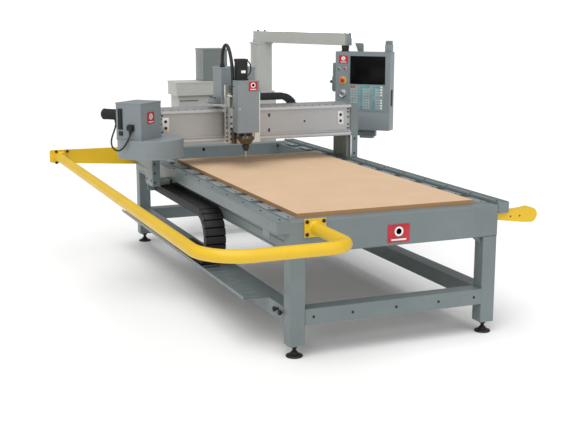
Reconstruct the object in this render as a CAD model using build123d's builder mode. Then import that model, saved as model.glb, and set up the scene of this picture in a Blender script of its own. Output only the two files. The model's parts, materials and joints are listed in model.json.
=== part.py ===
"""Gantry sheet router: a fixed table, a travelling gantry, a spindle head and a pendant on a boom.

Millimetres, +Z up. Lengths below are measured from the table: x = 0 is its centre line, y = 0 its
front face and z = 0 the floor. Each piece is then shifted so that the origin is the bottom centre
of the whole machine's box.
"""
from build123d import *
from math import cos, radians, sin, tan
import os

os.makedirs("parts", exist_ok=True)

# Table
WALL = 4
TUBE_WALL = 5
TABLE_HALF = 715
TABLE_LENGTH = 3530
TUBE = 100
DECK_Z = 840
BEAM_DEPTH = 200
LEG_BOTTOM = 76
LOWER_RAIL_Z = 200
SHEET_X = (-630, 590)
SHEET_Y = (100, 2540)
SHEET_THICKNESS = 25
SLAT_THICKNESS = 12
SLAT_PITCH = 305
SLAT_WIDTH = 205
SLATS = 8

# Gantry, drawn where it rests
GANTRY_Y = (2170, 2460)
BEAM_X = (-870, 737)
BEAM_Z = (1041, 1293)
RACK_Z = 779
PINION_R = 20
DRIVE_Y = 2150
DRIVE_Z = RACK_Z - 0.3 - PINION_R

# Carriage and spindle head
SPINDLE_X, SPINDLE_Y = -279, 1900
TOOL_TIP_Z = 948
Z_RAIL_X = (-331, -131)
SHAFT_R = 14
FIT = 0.05

# Tool changer
DRUM_X, DRUM_Y, DRUM_R = -1020, 1900, 240
DRUM_Z = (995, 1130)
BOX_TOP = 1393
BOX_PLANE = Plane(origin=(-1104, 1900, 0), x_dir=(cos(radians(42.4)), sin(radians(42.4)), 0))
POCKETS = 10

# Cable chains
CHAIN_X = (-870, -720)
CHAIN_Z = (305, 712)
CHAIN_LINK = 60
CHAIN_BEND_Y = 1303.5
CHAIN_ANCHOR_Y = 1850
X_CHAIN_Y = (2480, 2560)
X_CHAIN_Z = (1080, 1375)
X_CHAIN_LINK = 55
X_CHAIN_BEND_X = 255
X_CHAIN_ANCHOR_X = 20
X_CHAIN_END_X = -190

# Guard rail
GUARD_R = 37
GUARD_WALL = 3
GUARD_Z = 793
GUARD_START_X = -558
GUARD_FRONT_Y = -520
GUARD_LEFT_X = -1395
ARM_TIP_X = -1470

# Control cabinet, boom and pendant
CABINET_X = (-258, 700)
CABINET_Y = (3700, 3940)
CABINET_BOTTOM = 560
CABINET_TOP = 1275
DOOR = 20
POST_X, POST_Y, POST_HALF = 610, 3850, 82
BOOM_Z = (1742, 1848)
ARM_END = (992, 2812)
PENDANT_Z = (1020, 1690)
PENDANT_X = (-70, 430)
PENDANT_HALF_DEPTH = 60
PENDANT_TURN = -45
PENDANT_PLANE = Plane(
    origin=(*ARM_END, 0), x_dir=(cos(radians(PENDANT_TURN)), sin(radians(PENDANT_TURN)), 0)
)

# The machine's box, for the shift to its bottom centre
BOX_LOW_X = ARM_TIP_X
BOX_HIGH_X = PENDANT_PLANE.from_local_coords((PENDANT_X[1], PENDANT_HALF_DEPTH, 0)).X
BOX_LOW_Y = GUARD_FRONT_Y - GUARD_R
BOX_HIGH_Y = CABINET_Y[1] + 0.3 + DOOR
TO_CENTRE = Location((-(BOX_LOW_X + BOX_HIGH_X) / 2, -(BOX_LOW_Y + BOX_HIGH_Y) / 2, 0))


def save(builder, name):
    """Label a finished piece, shift it to the machine's bottom centre and write it."""
    piece = builder.part.moved(TO_CENTRE)
    piece.label = name
    export_step(piece, f"parts/{name}.step")


def block(x, y, z, mode=Mode.ADD):
    """A box between two corners, each span given as (low, high)."""
    centre = ((x[0] + x[1]) / 2, (y[0] + y[1]) / 2, (z[0] + z[1]) / 2)
    with Locations(centre):
        Box(x[1] - x[0], y[1] - y[0], z[1] - z[0], mode=mode)


def hollow(x, y, z, open_along=""):
    """The inside of a square tube, run out through its ends along one axis if that is given."""
    spans = []
    for name, (low, high) in zip("xyz", (x, y, z)):
        step = 0 if name == open_along else TUBE_WALL
        spans.append((low + step, high - step))
    block(*spans, Mode.SUBTRACT)


def rod(radius, start, end, mode=Mode.ADD):
    """A round bar from one point to another."""
    axis = Vector(*end) - Vector(*start)
    with Locations(Plane(origin=start, z_dir=axis)):
        Cylinder(radius, axis.length, align=(Align.CENTER, Align.CENTER, Align.MIN), mode=mode)


def hexagon(across, start, end):
    """A hexagonal nut or bolt head from one point to another."""
    axis = Vector(*end) - Vector(*start)
    with BuildSketch(Plane(origin=start, z_dir=axis), mode=Mode.PRIVATE) as outline:
        RegularPolygon(across / 2, 6, major_radius=False)
    extrude(outline.sketch, amount=axis.length)


def bend_radii(points):
    """The largest arc at each corner of a route that its two runs leave room for."""
    corners = [Vector(*p) for p in points]
    radii = []
    for before, here, after in zip(corners, corners[1:], corners[2:]):
        turn = radians((here - before).get_angle(after - here))
        shorter = min((here - before).length, (after - here).length)
        radii.append(0.45 * shorter / tan(turn / 2))
    return radii


def hose(points, radius, name):
    """A flexible tube along straight runs joined by tangent arcs; call it in a BuildPart."""
    radii = bend_radii(points)
    print(name, "bend radii", [round(r) for r in radii])
    with BuildLine(mode=Mode.PRIVATE) as route:
        FilletPolyline(*points, radius=radii)
    start = Plane(origin=route.line @ 0, z_dir=route.line % 0)
    with BuildSketch(start, mode=Mode.PRIVATE) as section:
        Circle(radius)
    sweep(section.sketch, path=route.line)


# ---------------------------------------------------------------- table frame
BEAM_BOTTOM = DECK_Z - BEAM_DEPTH
SIDE_TOP = DECK_Z - SLAT_THICKNESS
INNER = TABLE_HALF - TUBE
REAR_BEAM_Y = TABLE_LENGTH - TUBE
LEG_CENTRES = [(x, y) for x in (-665, 665) for y in (50, TABLE_LENGTH - 50)]

with BuildPart() as end_beams:
    for y in (0, REAR_BEAM_Y):
        block((-TABLE_HALF, TABLE_HALF), (y, y + TUBE), (BEAM_BOTTOM, DECK_Z))
    fillet(end_beams.edges().filter_by(Axis.X), 8)
    front_joint = (TUBE - TUBE_WALL, TUBE)
    rear_joint = (REAR_BEAM_Y, REAR_BEAM_Y + TUBE_WALL)
    for y, joint in ((0, front_joint), (REAR_BEAM_Y, rear_joint)):
        hollow((-TABLE_HALF, TABLE_HALF), (y, y + TUBE), (BEAM_BOTTOM, DECK_Z))
        for side in (-1, 1):
            inside = sorted((side * (INNER + TUBE_WALL), side * (TABLE_HALF - TUBE_WALL)))
            block(inside, joint, (BEAM_BOTTOM + 12, SIDE_TOP - 12), Mode.SUBTRACT)
    for x in (-114, 610):
        rod(14, (x, REAR_BEAM_Y - 1, 806), (x, REAR_BEAM_Y + TUBE_WALL, 806), Mode.SUBTRACT)
save(end_beams, "end_beams")

with BuildPart() as side_beams:
    for side in (-1, 1):
        span = sorted((side * INNER, side * TABLE_HALF))
        block(span, (TUBE, REAR_BEAM_Y), (BEAM_BOTTOM, SIDE_TOP))
        hollow(span, (TUBE, REAR_BEAM_Y), (BEAM_BOTTOM, SIDE_TOP), "y")
save(side_beams, "side_beams")

GUSSET = 52
with BuildPart() as legs:
    for x, y in LEG_CENTRES:
        block((x - 50, x + 50), (y - 50, y + 50), (LEG_BOTTOM, BEAM_BOTTOM))
    fillet(legs.edges().filter_by(Axis.Z), 6)
    for x, y in LEG_CENTRES:
        inward = -1 if x > 0 else 1
        corner = x + inward * 50
        with BuildSketch(Plane.XZ.offset(-(y - 20))):
            with BuildLine():
                Polyline((corner, BEAM_BOTTOM), (corner + inward * GUSSET, BEAM_BOTTOM),
                         (corner, BEAM_BOTTOM - GUSSET), close=True)
            make_face()
        extrude(amount=-40)
    for x, y in LEG_CENTRES:
        block((x - 45, x + 45), (y - 45, y + 45), (LEG_BOTTOM + 8, BEAM_BOTTOM), Mode.SUBTRACT)
save(legs, "legs")

with BuildPart() as lower_rails:
    top = LOWER_RAIL_Z + TUBE
    for y in (0, REAR_BEAM_Y):
        block((-INNER, INNER), (y, y + TUBE), (LOWER_RAIL_Z, top))
        hollow((-INNER, INNER), (y, y + TUBE), (LOWER_RAIL_Z, top), "x")
    for side in (-1, 1):
        span = sorted((side * INNER, side * TABLE_HALF))
        block(span, (TUBE, REAR_BEAM_Y), (LOWER_RAIL_Z, top))
        hollow(span, (TUBE, REAR_BEAM_Y), (LOWER_RAIL_Z, top), "y")
save(lower_rails, "lower_rails")

with BuildPart() as levelling_feet:
    for x, y in LEG_CENTRES:
        rod(52, (x, y, 0), (x, y, 10))
        with Locations((x, y, 16)):
            Cone(52, 24, 12)
        rod(12, (x, y, 20), (x, y, LEG_BOTTOM))
        hexagon(38, (x, y, 58), (x, y, LEG_BOTTOM))
save(levelling_feet, "levelling_feet")

with BuildPart() as deck_cross_members:
    for i in range(SLATS):
        y = TUBE + 60 + i * SLAT_PITCH
        block((-INNER, INNER), (y, y + 80), (SIDE_TOP - 80, SIDE_TOP))
        hollow((-INNER, INNER), (y, y + 80), (SIDE_TOP - 80, SIDE_TOP), "x")
save(deck_cross_members, "deck_cross_members")

with BuildPart() as deck_slats:
    for i in range(SLATS):
        y = TUBE + i * SLAT_PITCH
        block((-700, 700), (y, y + SLAT_WIDTH), (SIDE_TOP, DECK_Z))
save(deck_slats, "deck_slats")

with BuildPart() as spoilboard:
    block(SHEET_X, SHEET_Y, (DECK_Z, DECK_Z + SHEET_THICKNESS))
save(spoilboard, "spoilboard")

COVER_X = 797
LEFT_COVER_Z = (771, 844)
with BuildPart() as left_rail_cover:
    block((-COVER_X - 3, -TABLE_HALF), (0, TABLE_LENGTH), (LEFT_COVER_Z[1] - 4, LEFT_COVER_Z[1]))
    block((-COVER_X - 3, -COVER_X + 1), (0, TABLE_LENGTH), (LEFT_COVER_Z[0], LEFT_COVER_Z[1] - 4))
    block((-COVER_X + 1, -TABLE_HALF), (0, 4), (LEFT_COVER_Z[0], LEFT_COVER_Z[1] - 4))
save(left_rail_cover, "left_rail_cover")

RIGHT_COVER_Z = (785, 853)
with BuildPart() as right_rail_cover:
    block((TABLE_HALF + 5, COVER_X), (0, TABLE_LENGTH), (RIGHT_COVER_Z[1] - 4, RIGHT_COVER_Z[1]))
    block((COVER_X - 4, COVER_X), (0, TABLE_LENGTH), (RIGHT_COVER_Z[0], RIGHT_COVER_Z[1] - 4))
    block((TABLE_HALF + 5, COVER_X - 4), (0, 4), (RIGHT_COVER_Z[0], RIGHT_COVER_Z[1] - 4))
    block((TABLE_HALF, TABLE_HALF + 5), (0, TABLE_LENGTH), (DECK_Z - 6, RIGHT_COVER_Z[1]))
save(right_rail_cover, "right_rail_cover")

RAIL_Z = (808, 833)
with BuildPart() as y_linear_rails:
    for side in (-1, 1):
        block(sorted((side * TABLE_HALF, side * (TABLE_HALF + 20))), (110, 3420), RAIL_Z)
save(y_linear_rails, "y_linear_rails")

with BuildPart() as y_gear_racks:
    for side in (-1, 1):
        block(sorted((side * TABLE_HALF, side * (TABLE_HALF + 57))), (110, 3420), (RACK_Z, RACK_Z + 25))
save(y_gear_racks, "y_gear_racks")

# ---------------------------------------------------------------- guard rail and side handle
GUARD_BACK_Y = TABLE_LENGTH - 12
GUARD_ROUTE = [
    (GUARD_START_X, -12, GUARD_Z),
    (GUARD_START_X, GUARD_FRONT_Y, GUARD_Z),
    (GUARD_LEFT_X, GUARD_FRONT_Y, GUARD_Z),
    (GUARD_LEFT_X, GUARD_BACK_Y, GUARD_Z),
]
with BuildPart() as guard_rail:
    with BuildLine(mode=Mode.PRIVATE) as guard_line:
        FilletPolyline(*GUARD_ROUTE, radius=[130, 260])
    with BuildSketch(Plane(origin=GUARD_ROUTE[0], z_dir=(0, -1, 0)), mode=Mode.PRIVATE) as ring:
        Circle(GUARD_R)
        Circle(GUARD_R - GUARD_WALL, mode=Mode.SUBTRACT)
    sweep(ring.sketch, path=guard_line.line)
save(guard_rail, "guard_rail")

with BuildPart() as guard_mounts:
    block((-626, -490), (-12, 0), (741, 850))
    with BuildSketch(Plane.XZ.offset(-TABLE_LENGTH)) as arm_outline:
        with BuildLine():
            Polyline((-600, 688), (-1425, 741), (ARM_TIP_X, 750), (ARM_TIP_X, 845), (-1455, 853),
                     (-600, 850), close=True)
        make_face()
    extrude(amount=-20)
    block((-1468, -1345), (GUARD_BACK_Y, TABLE_LENGTH), (752, 848))
save(guard_mounts, "guard_mounts")

PADDLE_Z = 752
with BuildPart() as side_paddle:
    with BuildSketch(Plane.XZ.offset(-25)) as paddle_outline:
        with BuildLine():
            Polyline((TABLE_HALF, PADDLE_Z - 14), (930, PADDLE_Z - 44), (985, PADDLE_Z - 48),
                     (985, PADDLE_Z + 48), (930, PADDLE_Z + 40), (TABLE_HALF, PADDLE_Z + 28), close=True)
        make_face()
        with Locations((985, PADDLE_Z)):
            Circle(48)
        with Locations((830, PADDLE_Z), (900, PADDLE_Z)):
            Circle(7, mode=Mode.SUBTRACT)
    extrude(amount=-75)
save(side_paddle, "side_paddle")

with BuildPart() as frame_bolts:
    for x in (-612, -504):
        for z in (757, 834):
            rod(9, (x, -20, z), (x, -12, z))
    for x in (-1456, -1358):
        for z in (763, 837):
            rod(9, (x, GUARD_BACK_Y - 8, z), (x, GUARD_BACK_Y, z))
    for x in (-560, -300, 0, 300, 560):
        rod(7, (x, -5, 250), (x, 0, 250))
    for y in range(180, 3400, 620):
        rod(7, (-TABLE_HALF - 5, y, 268), (-TABLE_HALF, y, 268))
save(frame_bolts, "frame_bolts")

# ---------------------------------------------------------------- cable tray and table chain
TRAY_X = (-885, -695)
TRAY_TOP = LOWER_RAIL_Z + TUBE
with BuildPart() as cable_tray:
    block(TRAY_X, (330, 3400), (TRAY_TOP, TRAY_TOP + 3))
    block((TRAY_X[0], TRAY_X[0] + 3), (330, 3400), (TRAY_TOP + 3, TRAY_TOP + 22))
    with Locations(*[((TRAY_X[0] + TRAY_X[1]) / 2 - 10, 380 + i * 95, TRAY_TOP) for i in range(32)]):
        Box(110, 14, 20, mode=Mode.SUBTRACT)
save(cable_tray, "cable_tray")


def chain_bend(outer_radius, link, side):
    """Half ring of a cable chain, bulging along the sketch's x when side is 1, or back when -1."""
    Circle(outer_radius)
    Circle(outer_radius - link, mode=Mode.SUBTRACT)
    with Locations((-side * outer_radius, 0)):
        Rectangle(2 * outer_radius, 4 * outer_radius, mode=Mode.SUBTRACT)


CHAIN_RADIUS = (CHAIN_Z[1] - CHAIN_Z[0]) / 2
CHAIN_CENTRE_Z = (CHAIN_Z[0] + CHAIN_Z[1]) / 2
Y_BEND_PLANE = Plane(
    origin=(CHAIN_X[0], CHAIN_BEND_Y, CHAIN_CENTRE_Z), x_dir=(0, 1, 0), z_dir=(1, 0, 0)
)
with BuildPart() as y_chain_bend:
    with BuildSketch(Y_BEND_PLANE):
        chain_bend(CHAIN_RADIUS, CHAIN_LINK, -1)
    extrude(amount=CHAIN_X[1] - CHAIN_X[0])
save(y_chain_bend, "y_chain_bend")

CHAIN_END_Y = 2380
with BuildPart() as y_chain_lower_run:
    block(CHAIN_X, (CHAIN_BEND_Y, CHAIN_ANCHOR_Y), (CHAIN_Z[0], CHAIN_Z[0] + CHAIN_LINK))
save(y_chain_lower_run, "y_chain_lower_run")
with BuildPart() as y_chain_upper_run:
    block(CHAIN_X, (CHAIN_BEND_Y, CHAIN_END_Y), (CHAIN_Z[1] - CHAIN_LINK, CHAIN_Z[1]))
save(y_chain_upper_run, "y_chain_upper_run")

# ---------------------------------------------------------------- control cabinet and boom post
HOOD_X = (-290, 500)
HOOD_TOP = 1395
with BuildPart() as cabinet_body:
    block(HOOD_X, (CABINET_Y[0] - 35, CABINET_Y[1]), (CABINET_TOP, HOOD_TOP))
    fillet(cabinet_body.edges().filter_by(Axis.Z), 12)
    block(CABINET_X, CABINET_Y, (CABINET_BOTTOM, CABINET_TOP))
    block((-238, -84), (CABINET_Y[0] - 1, CABINET_Y[0] + WALL), (1220, 1228), Mode.SUBTRACT)
    block((CABINET_X[0] + WALL, CABINET_X[1] - WALL), (CABINET_Y[0] + WALL, CABINET_Y[1]),
          (CABINET_BOTTOM + WALL, CABINET_TOP - WALL), Mode.SUBTRACT)
    block((HOOD_X[0] + WALL + 32, HOOD_X[1] - WALL), (CABINET_Y[0] + WALL, CABINET_Y[1] - WALL),
          (CABINET_TOP - WALL, HOOD_TOP - WALL), Mode.SUBTRACT)
    for x in (-200, 560):
        block((x, x + 60), (TABLE_LENGTH, CABINET_Y[0]), (700, 760))
save(cabinet_body, "cabinet_body")

with BuildPart() as cabinet_door:
    leaf_y = (CABINET_Y[1] + 0.3, CABINET_Y[1] + 0.3 + DOOR)
    block((CABINET_X[0] + 8, CABINET_X[1] - 8), leaf_y, (CABINET_BOTTOM + 8, CABINET_TOP - 8))
    block((CABINET_X[0] + 11, CABINET_X[1] - 11), (leaf_y[0], leaf_y[1] - 3),
          (CABINET_BOTTOM + 11, CABINET_TOP - 11),
          Mode.SUBTRACT)
save(cabinet_door, "cabinet_door")

RESISTOR_X = (-21, 215)
RESISTOR_Y = (CABINET_Y[0], CABINET_Y[0] + 220)
RESISTOR_TOP = 1690
with BuildPart() as resistor_box:
    block(RESISTOR_X, RESISTOR_Y, (HOOD_TOP, RESISTOR_TOP))
    fillet(resistor_box.edges().filter_by(Axis.Z), 6)
    block((RESISTOR_X[0] + WALL, RESISTOR_X[1] - WALL), (RESISTOR_Y[0] + WALL, RESISTOR_Y[1] - WALL),
          (HOOD_TOP, RESISTOR_TOP - WALL), Mode.SUBTRACT)
save(resistor_box, "resistor_box")

BOOM_PIN_R = 22
with BuildPart() as boom_post:
    block((POST_X - POST_HALF, POST_X + POST_HALF), (POST_Y - POST_HALF, POST_Y + POST_HALF),
          (CABINET_TOP, BOOM_Z[0] - 0.3))
    fillet(boom_post.edges().filter_by(Axis.Z), 18)
    inside = POST_HALF - 8
    block((POST_X - inside, POST_X + inside), (POST_Y - inside, POST_Y + inside),
          (CABINET_TOP, BOOM_Z[0] - 20), Mode.SUBTRACT)
    rod(BOOM_PIN_R, (POST_X, POST_Y, BOOM_Z[0] - 0.3), (POST_X, POST_Y, BOOM_Z[0] + 60))
save(boom_post, "boom_post")

# ---------------------------------------------------------------- gantry
with BuildPart() as gantry_beam:
    block(BEAM_X, GANTRY_Y, BEAM_Z)
    block(BEAM_X, (GANTRY_Y[0] - 1, GANTRY_Y[0] + 12), (BEAM_Z[0] + 43, BEAM_Z[1] - 24), Mode.SUBTRACT)
    block(BEAM_X, (GANTRY_Y[0] + 24, GANTRY_Y[1] - 12), (BEAM_Z[0] + 12, BEAM_Z[1] - 12), Mode.SUBTRACT)
    for x in (BEAM_X[0] + 47, BEAM_X[1] - 88):
        for z in (1160, 1210):
            rod(9, (x, GANTRY_Y[0], z), (x, GANTRY_Y[0] + 40, z), Mode.SUBTRACT)
    for z in (1100, 1130, 1190, 1230, 1255):
        rod(6, (BEAM_X[1] - 20, GANTRY_Y[0], z), (BEAM_X[1] - 20, GANTRY_Y[0] + 40, z), Mode.SUBTRACT)
save(gantry_beam, "gantry_beam")

SKIRT_X = 802
with BuildPart() as gantry_leg:
    block((712, 737), (2190, 2440), (856, BEAM_Z[0]))
    block((737, SKIRT_X), GANTRY_Y, (856, BEAM_Z[1]))
    block((SKIRT_X, SKIRT_X + 10), (2190, 2440), (745, 1000))
save(gantry_leg, "gantry_leg")

BRACKET_X = (-957, -897)
BRACKET_BACK_Y = 2300
with BuildPart() as drive_bracket:
    block(BRACKET_X, (2100, BRACKET_BACK_Y), (728, DRUM_Z[0]))
    block((BRACKET_X[0], BEAM_X[0]), (GANTRY_Y[0], 2440), (DRUM_Z[0], BEAM_Z[1]))
    block((BRACKET_X[0] + 6, BRACKET_X[1] - 6), (2106, BRACKET_BACK_Y - 6), (728, DRUM_Z[0] - 6),
          Mode.SUBTRACT)
    block((BRACKET_X[0] + 6, BEAM_X[0]), (GANTRY_Y[0] + 6, 2434), (DRUM_Z[0] + 6, BEAM_Z[1] - 6),
          Mode.SUBTRACT)
    block((BRACKET_X[1] - 20, BRACKET_X[1]), (BRACKET_BACK_Y - 6, 2404), (728, 740))
    block((BRACKET_X[1] - 20, -740), (2392, 2404), (CHAIN_Z[1] - CHAIN_LINK, 740))
    block((BRACKET_X[1], -740), (2380, 2392), (CHAIN_Z[1] - CHAIN_LINK, CHAIN_Z[1]))
save(drive_bracket, "drive_bracket")

with BuildPart() as y_bearing_arms:
    left_spans, right_spans = ((2188, 2232), (2246, 2290)), ((2200, 2260), (2325, 2385))
    for side, wall, spans in ((-1, -BRACKET_X[1], left_spans), (1, SKIRT_X, right_spans)):
        for y in spans:
            block(sorted((side * 790, side * 735.3)), y, (806, 836))
            block(sorted((side * 790, side * 776)), y, (745, 806))
            block(sorted((side * wall, side * 790)), y, (745, 767))
save(y_bearing_arms, "y_bearing_arms")

with BuildPart() as y_drive_motor:
    rod(30, (BRACKET_X[1], DRIVE_Y, DRIVE_Z), (-812, DRIVE_Y, DRIVE_Z))
    rod(20, (-812, DRIVE_Y, DRIVE_Z), (-806, DRIVE_Y, DRIVE_Z))
    rod(8 + FIT, (BRACKET_X[1], DRIVE_Y, DRIVE_Z), (-806, DRIVE_Y, DRIVE_Z), Mode.SUBTRACT)
save(y_drive_motor, "y_drive_motor")

with BuildPart() as y_pinion:
    rod(8, (BRACKET_X[1] + 10, DRIVE_Y, DRIVE_Z), (-745, DRIVE_Y, DRIVE_Z))
    rod(PINION_R - 4, (-770, DRIVE_Y, DRIVE_Z), (-746, DRIVE_Y, DRIVE_Z))
    with BuildSketch(Plane(origin=(-770, DRIVE_Y, DRIVE_Z), z_dir=(1, 0, 0))):
        with PolarLocations(PINION_R - 3, 20):
            Rectangle(6, 3)
    extrude(amount=24)
save(y_pinion, "y_pinion")

X_RAIL_Z = (1059, 1281)
with BuildPart() as x_linear_rails:
    for z in X_RAIL_Z:
        block((BEAM_X[0] + 6, BEAM_X[1] - 6), (GANTRY_Y[0] - 20, GANTRY_Y[0]), (z - 9, z + 9))
save(x_linear_rails, "x_linear_rails")

X_TRAY_TOP = X_CHAIN_Z[0] - 0.3
with BuildPart() as x_chain_tray:
    block((X_CHAIN_ANCHOR_X - 500, 700), (GANTRY_Y[1], X_CHAIN_Y[1] + 6), (X_CHAIN_Z[0] - 4, X_TRAY_TOP))
    block((X_CHAIN_ANCHOR_X - 20, X_CHAIN_ANCHOR_X), X_CHAIN_Y, (X_TRAY_TOP, X_CHAIN_Z[0] + X_CHAIN_LINK))
save(x_chain_tray, "x_chain_tray")

X_CHAIN_RADIUS = (X_CHAIN_Z[1] - X_CHAIN_Z[0]) / 2
X_CHAIN_CENTRE_Z = (X_CHAIN_Z[0] + X_CHAIN_Z[1]) / 2
X_BEND_PLANE = Plane(
    origin=(X_CHAIN_BEND_X, X_CHAIN_Y[0], X_CHAIN_CENTRE_Z), x_dir=(1, 0, 0), z_dir=(0, 1, 0)
)
with BuildPart() as x_chain_bend:
    with BuildSketch(X_BEND_PLANE):
        chain_bend(X_CHAIN_RADIUS, X_CHAIN_LINK, 1)
    extrude(amount=X_CHAIN_Y[1] - X_CHAIN_Y[0])
save(x_chain_bend, "x_chain_bend")

with BuildPart() as x_chain_lower_run:
    block((X_CHAIN_ANCHOR_X, X_CHAIN_BEND_X), X_CHAIN_Y, (X_CHAIN_Z[0], X_CHAIN_Z[0] + X_CHAIN_LINK))
save(x_chain_lower_run, "x_chain_lower_run")
with BuildPart() as x_chain_upper_run:
    block((X_CHAIN_END_X, X_CHAIN_BEND_X), X_CHAIN_Y, (X_CHAIN_Z[1] - X_CHAIN_LINK, X_CHAIN_Z[1]))
save(x_chain_upper_run, "x_chain_upper_run")

# ---------------------------------------------------------------- tool changer
HUB_R = 25
with BuildPart() as changer_drum_cover:
    rod(DRUM_R, (DRUM_X, DRUM_Y, DRUM_Z[0]), (DRUM_X, DRUM_Y, DRUM_Z[1]))
    fillet(changer_drum_cover.edges().group_by(Axis.Z)[-1], 5)
    rod(DRUM_R - WALL, (DRUM_X, DRUM_Y, DRUM_Z[0]), (DRUM_X, DRUM_Y, DRUM_Z[1] - WALL), Mode.SUBTRACT)
    rod(HUB_R + FIT, (DRUM_X, DRUM_Y, DRUM_Z[0]), (DRUM_X, DRUM_Y, DRUM_Z[1] + 1), Mode.SUBTRACT)
save(changer_drum_cover, "changer_drum_cover")

with BuildPart() as changer_box:
    with BuildSketch(BOX_PLANE.offset(DRUM_Z[1])):
        Rectangle(272, 210)
    extrude(amount=BOX_TOP - DRUM_Z[1])
    fillet(changer_box.edges().filter_by(Axis.Z), 3)
    with BuildSketch(BOX_PLANE.offset(DRUM_Z[1])):
        Rectangle(272 - 2 * WALL, 210 - 2 * WALL)
    extrude(amount=BOX_TOP - DRUM_Z[1] - WALL, mode=Mode.SUBTRACT)
save(changer_box, "changer_box")

MOTOR_U, MOTOR_Z, MOTOR_R = -85, 1303, 40
on_box = BOX_PLANE.from_local_coords
with BuildPart() as changer_motor:
    rod(MOTOR_R, on_box((MOTOR_U, 111, MOTOR_Z)), on_box((MOTOR_U, 250, MOTOR_Z)))
    chamfer(changer_motor.edges().filter_by(GeomType.CIRCLE), 8)
    rod(46, on_box((MOTOR_U, 105, MOTOR_Z)), on_box((MOTOR_U, 113, MOTOR_Z)))
save(changer_motor, "changer_motor")

CONNECTOR_V, CONNECTOR_Z = -25, 1200
with BuildPart() as changer_connector:
    with BuildSketch(BOX_PLANE.offset(CONNECTOR_Z)):
        with Locations((-153, CONNECTOR_V)):
            Rectangle(34, 44)
    extrude(amount=38)
    with BuildSketch(BOX_PLANE.offset(1205)):
        with Locations((-139, 66)):
            Rectangle(6, 34)
    extrude(amount=145)
save(changer_connector, "changer_connector")

CABLE_R = 7
CABLE_ROUTE = [
    (MOTOR_U, 140, MOTOR_Z - MOTOR_R), (MOTOR_U, 140, 1226), (-112, 142, 1180), (-158, 136, 1128),
    (-194, 108, 1084), (-206, 66, 1058), (-208, 24, 1062), (-204, -10, 1094),
    (-184, -25, 1136), (-154, CONNECTOR_V, 1166), (-154, CONNECTOR_V, CONNECTOR_Z),
]
with BuildPart() as changer_cable:
    hose([tuple(on_box(p)) for p in CABLE_ROUTE], CABLE_R, "changer_cable")
save(changer_cable, "changer_cable")

with BuildPart() as tool_carousel:
    rod(195, (DRUM_X, DRUM_Y, 1050), (DRUM_X, DRUM_Y, 1062))
    with Locations((DRUM_X, DRUM_Y, 1050)):
        with PolarLocations(190, POCKETS):
            Cylinder(24, 40, mode=Mode.SUBTRACT)
    rod(HUB_R, (DRUM_X, DRUM_Y, 1062), (DRUM_X, DRUM_Y, 1180))
save(tool_carousel, "tool_carousel")

# ---------------------------------------------------------------- carriage
SADDLE_X = (-365, -95)
with BuildPart() as x_saddle:
    block(SADDLE_X, (2110, 2138), (1030, 1480))
    block(SADDLE_X, (2138, 2400), (1300, 1326))
    for x in (SADDLE_X[0], SADDLE_X[1] - 80):
        for z in X_RAIL_Z:
            block((x, x + 80), (2138, 2162), (z - 18, z + 18))
            block((x, x + 80), (GANTRY_Y[0] - 20.3, 2163), (z - 9.3, z + 9.3), Mode.SUBTRACT)
    block((X_CHAIN_END_X - 90, X_CHAIN_END_X), (2400, X_CHAIN_Y[1]), (1308, 1319.5))
    block((X_CHAIN_END_X - 40, X_CHAIN_END_X), X_CHAIN_Y, (1319.5, X_CHAIN_Z[1]))
save(x_saddle, "x_saddle")

MOTOR_COVER_X, MOTOR_COVER_Y, MOTOR_COVER_Z = (-367, -87), (2200, 2400), (1326, 1605)
with BuildPart() as z_motor_cover:
    block(MOTOR_COVER_X, MOTOR_COVER_Y, MOTOR_COVER_Z)
    fillet(z_motor_cover.edges().filter_by(Axis.Z), 6)
    block((MOTOR_COVER_X[0] + WALL, MOTOR_COVER_X[1] - WALL),
          (MOTOR_COVER_Y[0] + WALL, MOTOR_COVER_Y[1] - WALL),
          (MOTOR_COVER_Z[0], MOTOR_COVER_Z[1] - WALL), Mode.SUBTRACT)
save(z_motor_cover, "z_motor_cover")

with BuildPart() as z_linear_rails:
    for x in Z_RAIL_X:
        block((x - 9, x + 9), (2092, 2110), (1034, 1474))
save(z_linear_rails, "z_linear_rails")

# ---------------------------------------------------------------- head
with BuildPart() as z_plate:
    block((-355, -107), (2040, 2064), (1040, 1420))
    for x in Z_RAIL_X:
        for z in (1060, 1310):
            block((x - 22, x + 22), (2064, 2104), (z, z + 80))
            block((x - 9.3, x + 9.3), (2091.7, 2105), (z - 1, z + 81), Mode.SUBTRACT)
    block((SPINDLE_X - 60, SPINDLE_X + 60), (SPINDLE_Y, 2040), (1160, 1400))
    block((-367, -337), (1958, 2064), (1400, 1412))
    rod(45, (SPINDLE_X, SPINDLE_Y, 1150), (SPINDLE_X, SPINDLE_Y, 1410), Mode.SUBTRACT)
save(z_plate, "z_plate")

HEAD_X, HEAD_Y, HEAD_Z = (-360, -187), (1848, 1956), (1137, 1525)
with BuildPart() as head_cover:
    block(HEAD_X, HEAD_Y, HEAD_Z)
    fillet(head_cover.edges().filter_by(Axis.Z).group_by(Axis.Y)[0], 12)
    block((HEAD_X[0] + 3, HEAD_X[1] - 3), (HEAD_Y[0] + 3, HEAD_Y[1] + 1), (HEAD_Z[0] - 1, HEAD_Z[1] - 3),
          Mode.SUBTRACT)
save(head_cover, "head_cover")

NOSE_Z = 1050
with BuildPart() as spindle_housing:
    rod(45, (SPINDLE_X, SPINDLE_Y, 1100), (SPINDLE_X, SPINDLE_Y, 1500))
    rod(SHAFT_R + FIT, (SPINDLE_X, SPINDLE_Y, 1099), (SPINDLE_X, SPINDLE_Y, 1501), Mode.SUBTRACT)
save(spindle_housing, "spindle_housing")

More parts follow.
